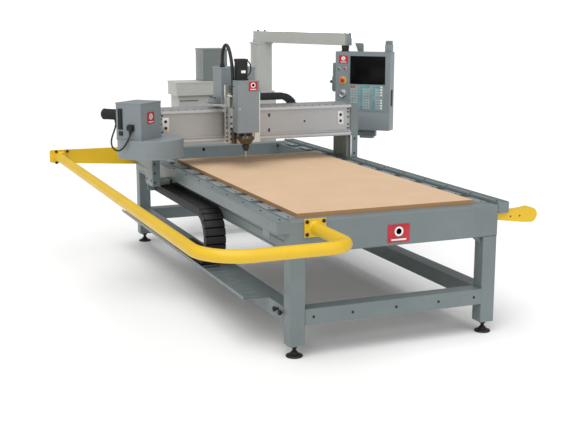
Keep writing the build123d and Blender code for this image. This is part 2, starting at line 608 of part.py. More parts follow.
with BuildPart() as spindle_nose:
    with Locations((SPINDLE_X, SPINDLE_Y, (NOSE_Z + 1100) / 2)):
        Cone(42, 68, 1100 - NOSE_Z)
    rod(34, (SPINDLE_X, SPINDLE_Y, NOSE_Z - 1), (SPINDLE_X, SPINDLE_Y, 1096), Mode.SUBTRACT)
    rod(SHAFT_R + FIT, (SPINDLE_X, SPINDLE_Y, 1090), (SPINDLE_X, SPINDLE_Y, 1101), Mode.SUBTRACT)
    with Locations((SPINDLE_X, SPINDLE_Y, 1118)):
        with PolarLocations(61, 8, start_angle=22):
            Box(8, 12, 36)
save(spindle_nose, "spindle_nose")

SPINDLE_MOTOR_X, SPINDLE_MOTOR_Y = (-337, -252), (1907, 1993)
with BuildPart() as spindle_motor:
    block(SPINDLE_MOTOR_X, SPINDLE_MOTOR_Y, (HEAD_Z[1], 1686))
    fillet(spindle_motor.edges().filter_by(Axis.Z), 6)
save(spindle_motor, "spindle_motor")

CONDUIT_R = 13.5
CONDUIT_ROUTE = [
    (-335, 2262, 1605), (-335, 2262, 1670), (-336, 2245, 1728), (-338, 2205, 1768), (-341, 2155, 1783),
    (-344, 2102, 1772), (-347, 2058, 1738), (-349, 2022, 1690), (-351, 1993, 1630), (-352, 1979, 1560),
    (-352, 1975, 1488), (-352, 1975, 1412),
]
with BuildPart() as motor_conduit:
    hose(CONDUIT_ROUTE, CONDUIT_R, "motor_conduit")
save(motor_conduit, "motor_conduit")

with BuildPart() as spindle_shaft:
    rod(SHAFT_R, (SPINDLE_X, SPINDLE_Y, 1040), (SPINDLE_X, SPINDLE_Y, 1490))
    rod(26, (SPINDLE_X, SPINDLE_Y, 1018), (SPINDLE_X, SPINDLE_Y, 1046))
    with Locations((SPINDLE_X, SPINDLE_Y, 1007)):
        Cone(16, 26, 22)
    rod(4, (SPINDLE_X, SPINDLE_Y, 990), (SPINDLE_X, SPINDLE_Y, 1018), Mode.SUBTRACT)
save(spindle_shaft, "spindle_shaft")

with BuildPart() as cutter:
    rod(4, (SPINDLE_X, SPINDLE_Y, TOOL_TIP_Z), (SPINDLE_X, SPINDLE_Y, 1018))
save(cutter, "cutter")

# ---------------------------------------------------------------- boom and pendant
reach = Vector(ARM_END[0] - POST_X, ARM_END[1] - POST_Y, 0)
BOOM_PLANE = Plane(origin=(POST_X, POST_Y, 0), x_dir=reach)
SWIVEL_PIN_R = 16
with BuildPart() as boom_arm:
    with BuildSketch(BOOM_PLANE.offset(BOOM_Z[0])):
        with Locations((reach.length / 2 - 20, 0)):
            Rectangle(reach.length + 130, 64)
    extrude(amount=BOOM_Z[1] - BOOM_Z[0])
    fillet(boom_arm.edges().filter_by(Plane.XY).filter_by(GeomType.LINE), 4)
    for along in (-46, 51):
        foot = BOOM_PLANE.from_local_coords((along, 0, BOOM_Z[1]))
        rod(12, foot, foot + Vector(0, 0, 16))
    rod(BOOM_PIN_R + FIT, (POST_X, POST_Y, BOOM_Z[0] - 1), (POST_X, POST_Y, BOOM_Z[0] + 61), Mode.SUBTRACT)
    rod(SWIVEL_PIN_R + FIT, (*ARM_END, BOOM_Z[0] - 1), (*ARM_END, BOOM_Z[0] + 41), Mode.SUBTRACT)
save(boom_arm, "boom_arm")

with BuildPart() as pendant_swivel:
    rod(34, (*ARM_END, PENDANT_Z[1]), (*ARM_END, BOOM_Z[0] - 0.3))
    rod(SWIVEL_PIN_R, (*ARM_END, BOOM_Z[0] - 0.3), (*ARM_END, BOOM_Z[0] + 40))
save(pendant_swivel, "pendant_swivel")

PENDANT_WIDTH = PENDANT_X[1] - PENDANT_X[0]
PENDANT_MID = (PENDANT_X[0] + PENDANT_X[1]) / 2
FACE = -PENDANT_HALF_DEPTH
face_point = PENDANT_PLANE.from_local_coords
SCREEN_X, SCREEN_Z = (66, 385), (1413, 1655)
KEYPAD_X, KEYPAD_Z = (66, 370), (1188, 1405)
START_X, HOLD_X, BUTTON_Z, BUTTON_R = -34, 21, 1543, 9
KNOB_X = 2
STOP_Z, STOP_STEM_R = 1444, 11
JOG_Z, JOG_STEM_R = 1327, 8
with BuildPart() as pendant_case:
    with BuildSketch(PENDANT_PLANE.offset(PENDANT_Z[0])):
        with Locations((PENDANT_MID, 0)):
            Rectangle(PENDANT_WIDTH, 2 * PENDANT_HALF_DEPTH)
    extrude(amount=PENDANT_Z[1] - PENDANT_Z[0])
    fillet(pendant_case.edges().filter_by(Axis.Z), 8)
    with BuildSketch(PENDANT_PLANE.offset(SCREEN_Z[0])):
        with Locations((sum(SCREEN_X) / 2, FACE + 5)):
            Rectangle(SCREEN_X[1] - SCREEN_X[0], 10)
    extrude(amount=SCREEN_Z[1] - SCREEN_Z[0], mode=Mode.SUBTRACT)
    with BuildSketch(PENDANT_PLANE.offset(PENDANT_Z[0] + WALL)):
        with Locations((PENDANT_MID, 5)):
            Rectangle(PENDANT_WIDTH - 2 * WALL, 2 * (PENDANT_HALF_DEPTH - 9))
    extrude(amount=PENDANT_Z[1] - PENDANT_Z[0] - 2 * WALL, mode=Mode.SUBTRACT)
    with BuildSketch(PENDANT_PLANE.offset(KEYPAD_Z[0])):
        with Locations((sum(KEYPAD_X) / 2, FACE - 1)):
            Rectangle(KEYPAD_X[1] - KEYPAD_X[0], 2)
    extrude(amount=KEYPAD_Z[1] - KEYPAD_Z[0])
    rod(32, face_point((KNOB_X, FACE - 4, STOP_Z)), face_point((KNOB_X, FACE, STOP_Z)))
    for x, z, r in (
        (START_X, BUTTON_Z, BUTTON_R), (HOLD_X, BUTTON_Z, BUTTON_R),
        (KNOB_X, STOP_Z, STOP_STEM_R), (KNOB_X, JOG_Z, JOG_STEM_R),
    ):
        rod(r, face_point((x, FACE - 5, z)), face_point((x, FACE + 30, z)), Mode.SUBTRACT)
save(pendant_case, "pendant_case")

with BuildPart() as pendant_screen:
    with BuildSketch(PENDANT_PLANE.offset(SCREEN_Z[0])):
        with Locations((sum(SCREEN_X) / 2, FACE + 6.5)):
            Rectangle(SCREEN_X[1] - SCREEN_X[0], 7)
    extrude(amount=SCREEN_Z[1] - SCREEN_Z[0])
save(pendant_screen, "pendant_screen")

BUTTON_GAP = 0.08
with BuildPart() as emergency_stop:
    stem_end = face_point((KNOB_X, FACE + 18, STOP_Z))
    rod(STOP_STEM_R - BUTTON_GAP, face_point((KNOB_X, FACE - 12, STOP_Z)), stem_end)
    rod(20, face_point((KNOB_X, FACE - 30, STOP_Z)), face_point((KNOB_X, FACE - 12, STOP_Z)))
save(emergency_stop, "emergency_stop")

for name, x in (("start_button", START_X), ("hold_button", HOLD_X)):
    with BuildPart() as push_button:
        cap, back = face_point((x, FACE - 6, BUTTON_Z)), face_point((x, FACE + 20, BUTTON_Z))
        rod(BUTTON_R - BUTTON_GAP, cap, back)
    save(push_button, name)

with BuildPart() as jog_wheel:
    stem_end = face_point((KNOB_X, FACE + 20, JOG_Z))
    rod(JOG_STEM_R - BUTTON_GAP, face_point((KNOB_X, FACE - 2, JOG_Z)), stem_end)
    rod(30, face_point((KNOB_X, FACE - 22, JOG_Z)), face_point((KNOB_X, FACE - 2, JOG_Z)))
    rod(6, face_point((KNOB_X, FACE - 24, JOG_Z + 17)), face_point((KNOB_X, FACE - 22, JOG_Z + 17)))
save(jog_wheel, "jog_wheel")
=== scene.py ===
"""Looks of the gantry sheet router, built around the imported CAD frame."""
import json
from math import cos, pi, radians, sin, sqrt

import bmesh
import bpy
from mathutils import Matrix, Vector


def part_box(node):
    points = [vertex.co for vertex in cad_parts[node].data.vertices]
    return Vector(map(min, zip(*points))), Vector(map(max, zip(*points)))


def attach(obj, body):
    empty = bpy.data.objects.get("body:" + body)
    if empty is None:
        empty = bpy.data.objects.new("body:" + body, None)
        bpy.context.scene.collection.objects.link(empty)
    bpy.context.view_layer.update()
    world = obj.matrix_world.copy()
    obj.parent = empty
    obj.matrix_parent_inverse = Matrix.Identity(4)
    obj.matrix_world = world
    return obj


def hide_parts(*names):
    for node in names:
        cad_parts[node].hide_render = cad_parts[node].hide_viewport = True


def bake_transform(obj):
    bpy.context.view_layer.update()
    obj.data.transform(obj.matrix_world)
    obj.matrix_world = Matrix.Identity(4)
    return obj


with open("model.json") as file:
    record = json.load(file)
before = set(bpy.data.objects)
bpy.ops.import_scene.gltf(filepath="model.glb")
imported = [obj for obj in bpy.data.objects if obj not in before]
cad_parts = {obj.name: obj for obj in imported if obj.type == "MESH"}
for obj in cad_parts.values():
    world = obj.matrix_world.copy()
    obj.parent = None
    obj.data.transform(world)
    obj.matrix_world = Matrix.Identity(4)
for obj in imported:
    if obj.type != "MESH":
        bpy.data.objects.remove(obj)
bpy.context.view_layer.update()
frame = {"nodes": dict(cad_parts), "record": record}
nodes = frame["nodes"]

# Table coordinates: millimetres from the table's centre line, its front face and the floor.
table_low, table_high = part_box("end_beams")
TABLE = Vector(((table_low[0] + table_high[0]) / 2, table_low[1], 0))


def at(x, y, z):
    """A point in table coordinates, as metres in the row frame."""
    return TABLE + Vector((x, y, z)) / 1000


# ------------------------------------------------------------------ camera
CAMERA_AT = at(-3014, -5438.7, 2057.8)
YAW, PITCH, ROLL = radians(22.793), radians(11.32), radians(0.139)
LENS = 64.87


def make_camera():
    ahead = Vector((sin(YAW) * cos(PITCH), cos(YAW) * cos(PITCH), -sin(PITCH)))
    right = Vector((cos(YAW), -sin(YAW), 0))
    up = right.cross(ahead)
    right, up = right * cos(ROLL) + up * sin(ROLL), up * cos(ROLL) - right * sin(ROLL)
    data = bpy.data.cameras.new("camera")
    data.lens, data.sensor_width = LENS, 36
    data.clip_end = 100
    camera = bpy.data.objects.new("camera", data)
    turn = Matrix((right, up, -ahead)).transposed().to_4x4()
    camera.matrix_world = Matrix.Translation(CAMERA_AT) @ turn
    bpy.context.collection.objects.link(camera)
    bpy.context.scene.camera = camera


make_camera()


# ------------------------------------------------------------------ materials
class Nodes:
    """Shorthand for building one node material."""

    def __init__(self, name):
        self.material = bpy.data.materials.new(name)
        self.material.use_nodes = True
        self.tree = self.material.node_tree
        self.shader = self.tree.nodes["Principled BSDF"]
        self.coordinates = self.tree.nodes.new("ShaderNodeTexCoord").outputs["Object"]

    def link(self, source, target):
        self.tree.links.new(source, target)

    def new(self, kind, **inputs):
        node = self.tree.nodes.new(kind)
        for key, value in inputs.items():
            node.inputs[key].default_value = value
        return node

    def scaled(self, scale):
        mapping = self.new("ShaderNodeMapping", Scale=scale)
        self.link(self.coordinates, mapping.inputs["Vector"])
        return mapping.outputs["Vector"]

    def noise(self, scale, detail=3.0, roughness=0.5, stretch=None):
        node = self.new("ShaderNodeTexNoise", Scale=scale, Detail=detail, Roughness=roughness)
        self.link(self.scaled(stretch) if stretch else self.coordinates, node.inputs["Vector"])
        return node.outputs["Fac"]

    def ramp(self, source, *stops):
        node = self.tree.nodes.new("ShaderNodeValToRGB")
        elements = node.color_ramp.elements
        while len(elements) < len(stops):
            elements.new(0.5)
        for element, (place, colour) in zip(elements, stops):
            element.position = place
            element.color = (*colour, 1)
        self.link(source, node.inputs["Fac"])
        return node.outputs["Color"]

    def mix(self, factor, a, b, blend="MIX"):
        node = self.tree.nodes.new("ShaderNodeMix")
        node.data_type, node.blend_type = "RGBA", blend
        for socket, value in ((node.inputs[0], factor), (node.inputs[6], a), (node.inputs[7], b)):
            if isinstance(value, (int, float)):
                socket.default_value = value
            elif isinstance(value, tuple):
                socket.default_value = (*value, 1)
            else:
                self.link(value, socket)
        return node.outputs[2]

    def maths(self, operation, a, b=0.0):
        node = self.tree.nodes.new("ShaderNodeMath")
        node.operation = operation
        for socket, value in zip(node.inputs, (a, b)):
            if isinstance(value, (int, float)):
                socket.default_value = value
            else:
                self.link(value, socket)
        return node.outputs[0]

    def spread(self, source, low, high):
        node = self.new("ShaderNodeMapRange")
        node.inputs["To Min"].default_value, node.inputs["To Max"].default_value = low, high
        self.link(source, node.inputs["Value"])
        return node.outputs["Result"]

    def bump(self, height, strength, distance):
        node = self.new("ShaderNodeBump", Strength=strength, Distance=distance)
        self.link(height, node.inputs["Height"])
        self.link(node.outputs["Normal"], self.shader.inputs["Normal"])

    def colour(self, source):
        self.link(source, self.shader.inputs["Base Color"])

    def roughness(self, source):
        self.link(source, self.shader.inputs["Roughness"])


def shade(colour, factor):
    return tuple(channel * factor for channel in colour)


def edge_wear(n, base, worn, amount=0.5):
    """Lighter paint where an edge is rubbed, from how much the bevelled normal differs."""
    bevel = n.tree.nodes.new("ShaderNodeBevel")
    bevel.samples = 4
    bevel.inputs["Radius"].default_value = 0.003
    geometry = n.tree.nodes.new("ShaderNodeNewGeometry")
    dot = n.tree.nodes.new("ShaderNodeVectorMath")
    dot.operation = "DOT_PRODUCT"
    n.link(bevel.outputs["Normal"], dot.inputs[0])
    n.link(geometry.outputs["Normal"], dot.inputs[1])
    edge = n.maths("SUBTRACT", 1.0, dot.outputs["Value"])
    patchy = n.maths("MULTIPLY", n.spread(edge, 0, 3 * amount), n.noise(60, 4))
    return n.mix(patchy, base, worn)


def painted(name, colour, rough=0.42, peel=900, patch=0.08, grime=0.10, coat=0.12):
    """Powder coat: fine orange peel, faint uneven tone and dust, rubbed edges."""
    n = Nodes(name)
    tone = n.ramp(
        n.noise(3.1, 5, 0.6), (0.3, shade(colour, 1 - patch)), (0.7, shade(colour, 1 + patch)))
    smears = n.spread(n.noise(9, 6, 0.65, (1, 1, 0.35)), -grime, grime * 1.6)
    dusty = n.mix(n.maths("MAXIMUM", smears, 0), tone, shade(colour, 0.6))
    n.colour(edge_wear(n, dusty, shade(colour, 1.6), 0.35))
    n.roughness(n.spread(n.noise(14, 4), rough - 0.07, rough + 0.1))
    n.bump(n.noise(peel, 2), 0.10, 0.0006)
    n.shader.inputs["Coat Weight"].default_value = coat
    n.shader.inputs["Coat Roughness"].default_value = 0.35
    return n.material


def bare_metal(name, colour, rough=0.34, brush=(1, 90, 90), metallic=0.85,
               stain=(0.5, 0.45, 0.38)):
    """Milled or drawn metal: fine lines along one axis, soft stains and a scuffed gloss."""
    n = Nodes(name)
    lines = n.noise(6, 6, 0.7, brush)
    tone = n.ramp(lines, (0.25, shade(colour, 0.86)), (0.75, shade(colour, 1.08)))
    cloud = n.spread(n.noise(2.2, 5, 0.6), 0, 0.28)
    n.colour(n.mix(cloud, tone, n.mix(1.0, tone, stain, "MULTIPLY")))
    n.roughness(n.spread(n.noise(5, 4, 0.6), rough - 0.08, rough + 0.16))
    n.bump(lines, 0.14, 0.0005)
    n.shader.inputs["Metallic"].default_value = metallic
    return n.material


def moulded(name, colour, rough=0.5, grain=700, depth=0.15):
    """Moulded plastic or rubber with a fine pebble grain and a little dust."""
    n = Nodes(name)
    tone = n.ramp(n.noise(12, 4), (0.35, shade(colour, 0.85)), (0.75, shade(colour, 1.25)))
    n.colour(tone)
    n.roughness(n.spread(n.noise(30, 3), rough - 0.08, rough + 0.1))
    n.bump(n.noise(grain, 2), depth, 0.0005)
    return n.material


def particle_board():
    """Sanded particle board: pale flakes on top, a browner, coarser sawn edge round the sides."""
    n = Nodes("particle_board")
    flakes = n.noise(420, 5, 0.7)
    blotch = n.noise(5, 5, 0.6)
    top = n.mix(0.5, n.ramp(flakes, (0.32, (0.47, 0.31, 0.18)), (0.66, (0.70, 0.50, 0.33))),
                n.ramp(blotch, (0.3, (0.60, 0.42, 0.26)), (0.7, (0.68, 0.49, 0.32))))
    fibre = n.noise(260, 6, 0.75, (1, 1, 3))
    edge = n.ramp(fibre, (0.3, (0.27, 0.14, 0.055)), (0.72, (0.50, 0.29, 0.135)))
    geometry = n.tree.nodes.new("ShaderNodeNewGeometry")
    split = n.tree.nodes.new("ShaderNodeSeparateXYZ")
    n.link(geometry.outputs["Normal"], split.inputs[0])
    facing_up = n.maths("GREATER_THAN", split.outputs["Z"], 0.6)
    n.colour(n.mix(facing_up, edge, top))
    n.roughness(n.spread(flakes, 0.6, 0.78))
    n.bump(flakes, 0.25, 0.0008)
    return n.material


def black_glass():
    n = Nodes("screen_glass")
    n.colour(n.ramp(n.noise(4, 3), (0.3, (0.001, 0.001, 0.0012)), (0.8, (0.003, 0.003, 0.004))))
    n.roughness(n.spread(n.noise(18, 4), 0.16, 0.26))
    n.shader.inputs["Specular IOR Level"].default_value = 0.15
    n.bump(n.noise(40, 2), 0.02, 0.0003)
    return n.material


M = {
    "frame_paint": painted("frame_paint", (0.150, 0.182, 0.186), 0.40),
    "cover_paint": painted("cover_paint", (0.205, 0.235, 0.250), 0.46, patch=0.05),
    "cabinet_paint": painted("cabinet_paint", (0.44, 0.45, 0.42), 0.48, patch=0.04, grime=0.06),
    "yellow_paint": painted("yellow_paint", (0.70, 0.445, 0.006), 0.42, peel=500, patch=0.05,
                            grime=0.07, coat=0.10),
    "olive_metal": painted("olive_metal", (0.135, 0.150, 0.110), 0.38, patch=0.12),
    "resistor_paint": painted("resistor_paint", (0.15, 0.175, 0.165), 0.34, patch=0.12,
                              coat=0.3),
    "raw_aluminium": bare_metal("raw_aluminium", (0.47, 0.475, 0.48), 0.42),
    "bright_plate": bare_metal("bright_plate", (0.70, 0.70, 0.69), 0.34, (90, 90, 2),
                               stain=(0.7, 0.68, 0.62)),
    "steel": bare_metal("steel", (0.55, 0.55, 0.56), 0.28, stain=(0.7, 0.7, 0.7)),
    "dark_steel": bare_metal("dark_steel", (0.045, 0.044, 0.042), 0.40, (40, 40, 40), 0.7),
    "bronze": bare_metal("bronze", (0.115, 0.095, 0.062), 0.36, (60, 60, 2), 0.8),
    "chrome_knob": bare_metal("chrome_knob", (0.55, 0.57, 0.58), 0.26, (60, 60, 60), 1.0,
                              (0.9, 0.9, 0.9)),
    "particle_board": particle_board(),
    "screen_glass": black_glass(),
    "black_plastic": moulded("black_plastic", (0.008, 0.009, 0.008), 0.62),
    "black_rubber": moulded("black_rubber", (0.011, 0.011, 0.010), 0.55, 400, 0.3),
    "red_plastic": moulded("red_plastic", (0.50, 0.012, 0.018), 0.3),
    "green_plastic": moulded("green_plastic", (0.012, 0.20, 0.085), 0.3),
    "yellow_plastic": moulded("yellow_plastic", (0.80, 0.50, 0.01), 0.32),
    "white_print": moulded("white_print", (0.80, 0.80, 0.80), 0.4),
    "badge_red": moulded("badge_red", (0.42, 0.010, 0.022), 0.28),
    "key_grey": moulded("key_grey", (0.34, 0.42, 0.42), 0.45),
    "key_teal": moulded("key_teal", (0.03, 0.30, 0.36), 0.45),
    "keypad_field": moulded("keypad_field", (0.22, 0.29, 0.29), 0.42),
}


# ------------------------------------------------------------------ mesh building
class Kit:
    """Collects shapes into one mesh piece. All sizes are metres in the row frame."""

    def __init__(self):
        self.bm = bmesh.new()

    def box(self, low, high, bevel=0.0015, matrix=None):
        low, high = Vector(low), Vector(high)
        size = high - low
        made = bmesh.ops.create_cube(self.bm, size=1)["verts"]
        for vert in made:
            vert.co = Vector(v * s for v, s in zip(vert.co, size)) + (low + high) / 2
        edges = list({edge for vert in made for edge in vert.link_edges})
        faces = list({face for vert in made for face in vert.link_faces})
        limit = min(abs(s) for s in size) * 0.35
        out = bmesh.ops.bevel(
            self.bm, geom=edges, offset=min(bevel, limit), segments=2, profile=0.6,
            affect="EDGES", clamp_overlap=True)
        verts = {v for f in out["faces"] if f.is_valid for v in f.verts}
        verts |= {v for f in faces if f.is_valid for v in f.verts}
        if matrix:
            bmesh.ops.transform(self.bm, matrix=matrix, verts=list(verts))

    def lathe(self, start, direction, profile, steps=40):
        """A turned form: profile is (distance along, radius) pairs from start along direction."""
        axis = Vector(direction).normalized()
        turn = axis.to_track_quat("Z", "Y").to_matrix().to_4x4()
        place = Matrix.Translation(Vector(start)) @ turn
        rings = []
        for along, radius in profile:
            if radius < 1e-6:
                rings.append([self.bm.verts.new(place @ Vector((0, 0, along)))])
                continue
            ring = []
            for i in range(steps):
                angle = 2 * pi * i / steps
                point = Vector((radius * cos(angle), radius * sin(angle), along))
                ring.append(self.bm.verts.new(place @ point))
            rings.append(ring)
        for a, b in zip(rings, rings[1:]):
            for i in range(steps):
                j = (i + 1) % steps
                corners = [a[i % len(a)], a[j % len(a)], b[j % len(b)], b[i % len(b)]]
                unique = list(dict.fromkeys(corners))
                if len(unique) > 2:
                    self.bm.faces.new(unique)
        for ring, flip in ((rings[0], True), (rings[-1], False)):
            if len(ring) > 2:
                self.bm.faces.new(list(reversed(ring)) if flip else ring)

    def bar(self, start, end, radius, soft=None, steps=32):
        """A round bar with softened rims."""
        length = (Vector(end) - Vector(start)).length
        soft = min(radius, length) * 0.18 if soft is None else soft
        profile = [(0, radius - soft), (soft * 0.3, radius - soft * 0.3), (soft, radius)]
        profile += [(length - along, r) for along, r in reversed(profile)]
        self.lathe(start, Vector(end) - Vector(start), profile, steps)

    def bolt(self, head, direction, radius, height=None):
        """A cap screw: a washer, a chamfered head and its hex socket. direction points outward."""
        axis = Vector(direction).normalized()
        height = radius * 0.9 if height is None else height
        head = Vector(head)
        self.bar(head, head + axis * height * 0.2, radius * 1.45, steps=28)
        profile = [
            (0, radius * 0.98), (height * 0.85, radius), (height, radius * 0.86),
            (height, radius * 0.5), (height * 0.45, radius * 0.5), (height * 0.45, 0),
        ]
        self.lathe(head + axis * height * 0.2, axis, profile, 24)

    def hexagon(self, start, direction, across, height):
        axis = Vector(direction).normalized()
        r = across / sqrt(3)
        profile = [(0, r * 0.93), (height * 0.12, r), (height * 0.88, r), (height, r * 0.93)]
        self.lathe(start, axis, profile, 6)

    def prism(self, outline, offset, bevel=0.0015):
        """A plate: a closed outline of points, given thickness by an offset vector."""
        first = [self.bm.verts.new(Vector(p)) for p in outline]
        second = [self.bm.verts.new(Vector(p) + Vector(offset)) for p in outline]
        faces = [self.bm.faces.new(list(reversed(first))), self.bm.faces.new(second)]
        count = len(outline)
        for i in range(count):
            j = (i + 1) % count
            faces.append(self.bm.faces.new((first[i], first[j], second[j], second[i])))
        edges = list({edge for face in faces for edge in face.edges})
        bmesh.ops.bevel(
            self.bm, geom=edges, offset=bevel, segments=2, profile=0.6, affect="EDGES")

    def done(self, name, body, material, slot=None, replaces=(), smooth=35):
        bmesh.ops.recalc_face_normals(self.bm, faces=self.bm.faces[:])
        mesh = bpy.data.meshes.new(name)
        self.bm.to_mesh(mesh)
        self.bm.free()
        piece = bpy.data.objects.new(name, mesh)
        bpy.context.collection.objects.link(piece)
        mesh.materials.append(M[material])
        mesh.shade_smooth()
        mesh.set_sharp_from_angle(angle=radians(smooth))
        if body:
            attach(piece, body)
        if replaces:
            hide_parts(*replaces)
        return piece


# ------------------------------------------------------------------ cords
def spline_curve(name, points, radius, resolution=8):
    """A smooth NURBS line with the route's points as its control points."""
    data = bpy.data.curves.new(name, "CURVE")
    data.dimensions = "3D"
    data.resolution_u = resolution
    spline = data.splines.new("NURBS")
    spline.points.add(len(points) - 1)
    for point, place in zip(spline.points, points):
        point.co = (*place, 1)
    spline.order_u = 3
    spline.use_endpoint_u = True
    data.bevel_depth = radius
    data.bevel_resolution = 5
    data.use_fill_caps = True
    line = bpy.data.objects.new(name, data)
    bpy.context.collection.objects.link(line)
    return line


def line_points(points):
    """Points along the route's NURBS line."""
    line = spline_curve("route_reader", points, 0.0, 24)
    bpy.context.view_layer.update()
    mesh = bpy.data.meshes.new_from_object(line)
    found = [vert.co.copy() for vert in mesh.vertices]
    data = line.data
    bpy.data.objects.remove(line)
    bpy.data.curves.remove(data)
    bpy.data.meshes.remove(mesh)
    return found


BOX_CENTRE = at(-1104, 1900, 0)
BOX_TURN = Matrix.Translation(BOX_CENTRE) @ Matrix.Rotation(radians(42.4), 4, "Z")


def on_box(u, v, z):
    """A point beside the turned changer box, in millimetres along its sides."""
    return BOX_TURN @ Vector((u / 1000, v / 1000, z / 1000))


CABLE_ROUTE = [
    (-85, 140, 1263), (-85, 140, 1226), (-112, 142, 1180), (-158, 136, 1128),
    (-194, 108, 1084), (-206, 66, 1058), (-208, 24, 1062), (-204, -10, 1094),
    (-184, -25, 1136), (-154, -25, 1166), (-154, -25, 1200),
]
CONDUIT_ROUTE = [
    (-335, 2262, 1605), (-335, 2262, 1670), (-336, 2245, 1728), (-338, 2205, 1768),
    (-341, 2155, 1783), (-344, 2102, 1772), (-347, 2058, 1738), (-349, 2022, 1690),
    (-351, 1993, 1630), (-352, 1979, 1560), (-352, 1975, 1488), (-352, 1975, 1412),
]
LEAD_ROUTE = [
    (-253, 1668), (-236, 1664), (-222, 1642), (-217, 1610), (-224, 1580), (-240, 1561),
    (-253, 1557),
]


def route_length(points):
    return sum((b - a).length for a, b in zip(points, points[1:]))


def make_changer_cable():
    route = [on_box(*p) for p in CABLE_ROUTE]
    cable = spline_curve("changer_motor_cable", route, 0.0065)
    cable.data.materials.append(M["black_rubber"])
    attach(cable, "gantry")
    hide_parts("changer_cable")
    length = route_length(line_points(route))


def ribbed_tube(points, radius, ridge, pitch):
    """A corrugated hose along a smooth line: rings that swell and shrink by ridge every pitch."""
    total = route_length(points)
    marks = [0.0]
    for a, b in zip(points, points[1:]):
        marks.append(marks[-1] + (b - a).length)
    step = pitch / 4
    count = int(total / step)
    around = 20
    kit = Kit()
    rings = []
    side = Vector((1, 0, 0))
    index = 0
    for k in range(count + 1):
        along = min(k * total / count, total - 1e-9)
        while marks[index + 1] < along:
            index += 1
        share = (along - marks[index]) / (marks[index + 1] - marks[index])
        here = points[index].lerp(points[index + 1], share)
        ahead = (points[index + 1] - points[index]).normalized()
        side = (side - ahead * side.dot(ahead)).normalized()
        across = ahead.cross(side)
        r = radius if k % 4 in (0, 1) else radius - ridge
        ring = []
        for i in range(around):
            angle = 2 * pi * i / around
            out = side * cos(angle) + across * sin(angle)
            ring.append(kit.bm.verts.new(here + out * r))
        rings.append(ring)
    for a, b in zip(rings, rings[1:]):
        for i in range(around):
            j = (i + 1) % around
            kit.bm.faces.new((a[i], a[j], b[j], b[i]))
    kit.bm.faces.new(list(reversed(rings[0])))
    kit.bm.faces.new(rings[-1])
    return kit


def make_conduit():
    points = line_points([at(*p) for p in CONDUIT_ROUTE])
    kit = ribbed_tube(points, 0.0135, 0.0016, 0.008)
    piece = kit.done(
        "spindle_conduit", None, "black_rubber", replaces=["motor_conduit"], smooth=60)
    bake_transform(piece)


make_changer_cable()
make_conduit()


# ------------------------------------------------------------------ CAD nodes that show
NODE_MATERIAL = {
    "resistor_box": "resistor_paint", "x_saddle": "bright_plate", "z_plate": "bright_plate",
    "pendant_swivel": "black_plastic", "cutter": "chrome_knob",
}
SOFT_EDGES = {
    "end_beams": 4, "side_beams": 4, "lower_rails": 4, "guard_mounts": 2, "side_paddle": 5, "deck_slats": 1.5,
    "spoilboard": 0.8, "gantry_beam": 1.5, "gantry_leg": 3, "drive_bracket": 4, "resistor_box": 3,
    "cabinet_body": 4, "boom_post": 3, "boom_arm": 5, "z_motor_cover": 4, "head_cover": 4, "changer_box": 3,
    "pendant_case": 5, "x_saddle": 1.2, "z_plate": 1.2, "left_rail_cover": 1.2, "right_rail_cover": 1.2,
    "x_linear_rails": 1, "z_linear_rails": 1, "cabinet_door": 2, "cable_tray": 0.6, "legs": 1.5,
    "deck_cross_members": 2, "y_linear_rails": 1, "y_gear_racks": 1, "changer_connector": 2, "jog_wheel": 1,
}


def dress_frame():
    """Give every carried-over node its material, and soften the edges of the nodes listed in SOFT_EDGES."""
    slots = {s["node"]: s["material_slot"] for s in frame["record"]["subparts"]}
    for name, piece in nodes.items():
        piece.data.materials.clear()
        piece.data.materials.append(M[NODE_MATERIAL.get(name, slots[name])])
        if name in SOFT_EDGES:
            bevel = piece.modifiers.new("soft_edges", "BEVEL")
            bevel.width = SOFT_EDGES[name] / 1000
            bevel.segments = 2
            bevel.limit_method = "ANGLE"
            bevel.angle_limit = radians(40)
            bevel.use_clamp_overlap = True
            bevel.harden_normals = False


dress_frame()


# ------------------------------------------------------------------ cable chains
def chain_link(kit, matrix, pitch, height, width):
    """One link: two side plates with rounded ends and a bar across above and below."""
    plate = width * 0.07
    for side in (-1, 1):
        y = side * (width / 2 - plate / 2)
        kit.box((-pitch * 0.47, y - plate / 2, -height / 2),
                (pitch * 0.47, y + plate / 2, height / 2), height * 0.10, matrix)
        kit.bar(matrix @ Vector((pitch * 0.5, y + side * plate * 0.2, 0)),
                matrix @ Vector((pitch * 0.5, y + side * plate * 0.62, 0)), height * 0.20, steps=12)
    inner = width / 2 - plate
    for level in (-1, 1):
        z = level * (height / 2 - plate * 0.45)
        kit.box((-pitch * 0.46, -inner, z - plate * 0.4),
                (pitch * 0.46, inner, z + plate * 0.4), plate * 0.25, matrix)


def straight_chain(start, along, up, length, count, height, width):
    """A straight run of links from start; the bars across face up and down."""
    kit = Kit()
    pitch = length / count
    across = up.cross(along)
    turn = Matrix((along, across, up)).transposed().to_4x4()
    for i in range(count):
        place = Matrix.Translation(start + along * pitch * (i + 0.5))
        chain_link(kit, place @ turn, pitch, height, width)
    return kit


def bent_chain(centre, ahead, up, radius, count, height, width):
    """A half turn of links that bulges towards ahead."""
    kit = Kit()
    pitch = pi * radius / count
    for i in range(count):
        angle = pi * (i + 0.5) / count
        outward = up * cos(angle) + ahead * sin(angle)
        along = ahead * cos(angle) - up * sin(angle)
        turn = Matrix((along, outward.cross(along), outward)).transposed().to_4x4()
        place = Matrix.Translation(centre + outward * radius)
        chain_link(kit, place @ turn, pitch * 1.06, height, width)
    return kit


UP = Vector((0, 0, 1))


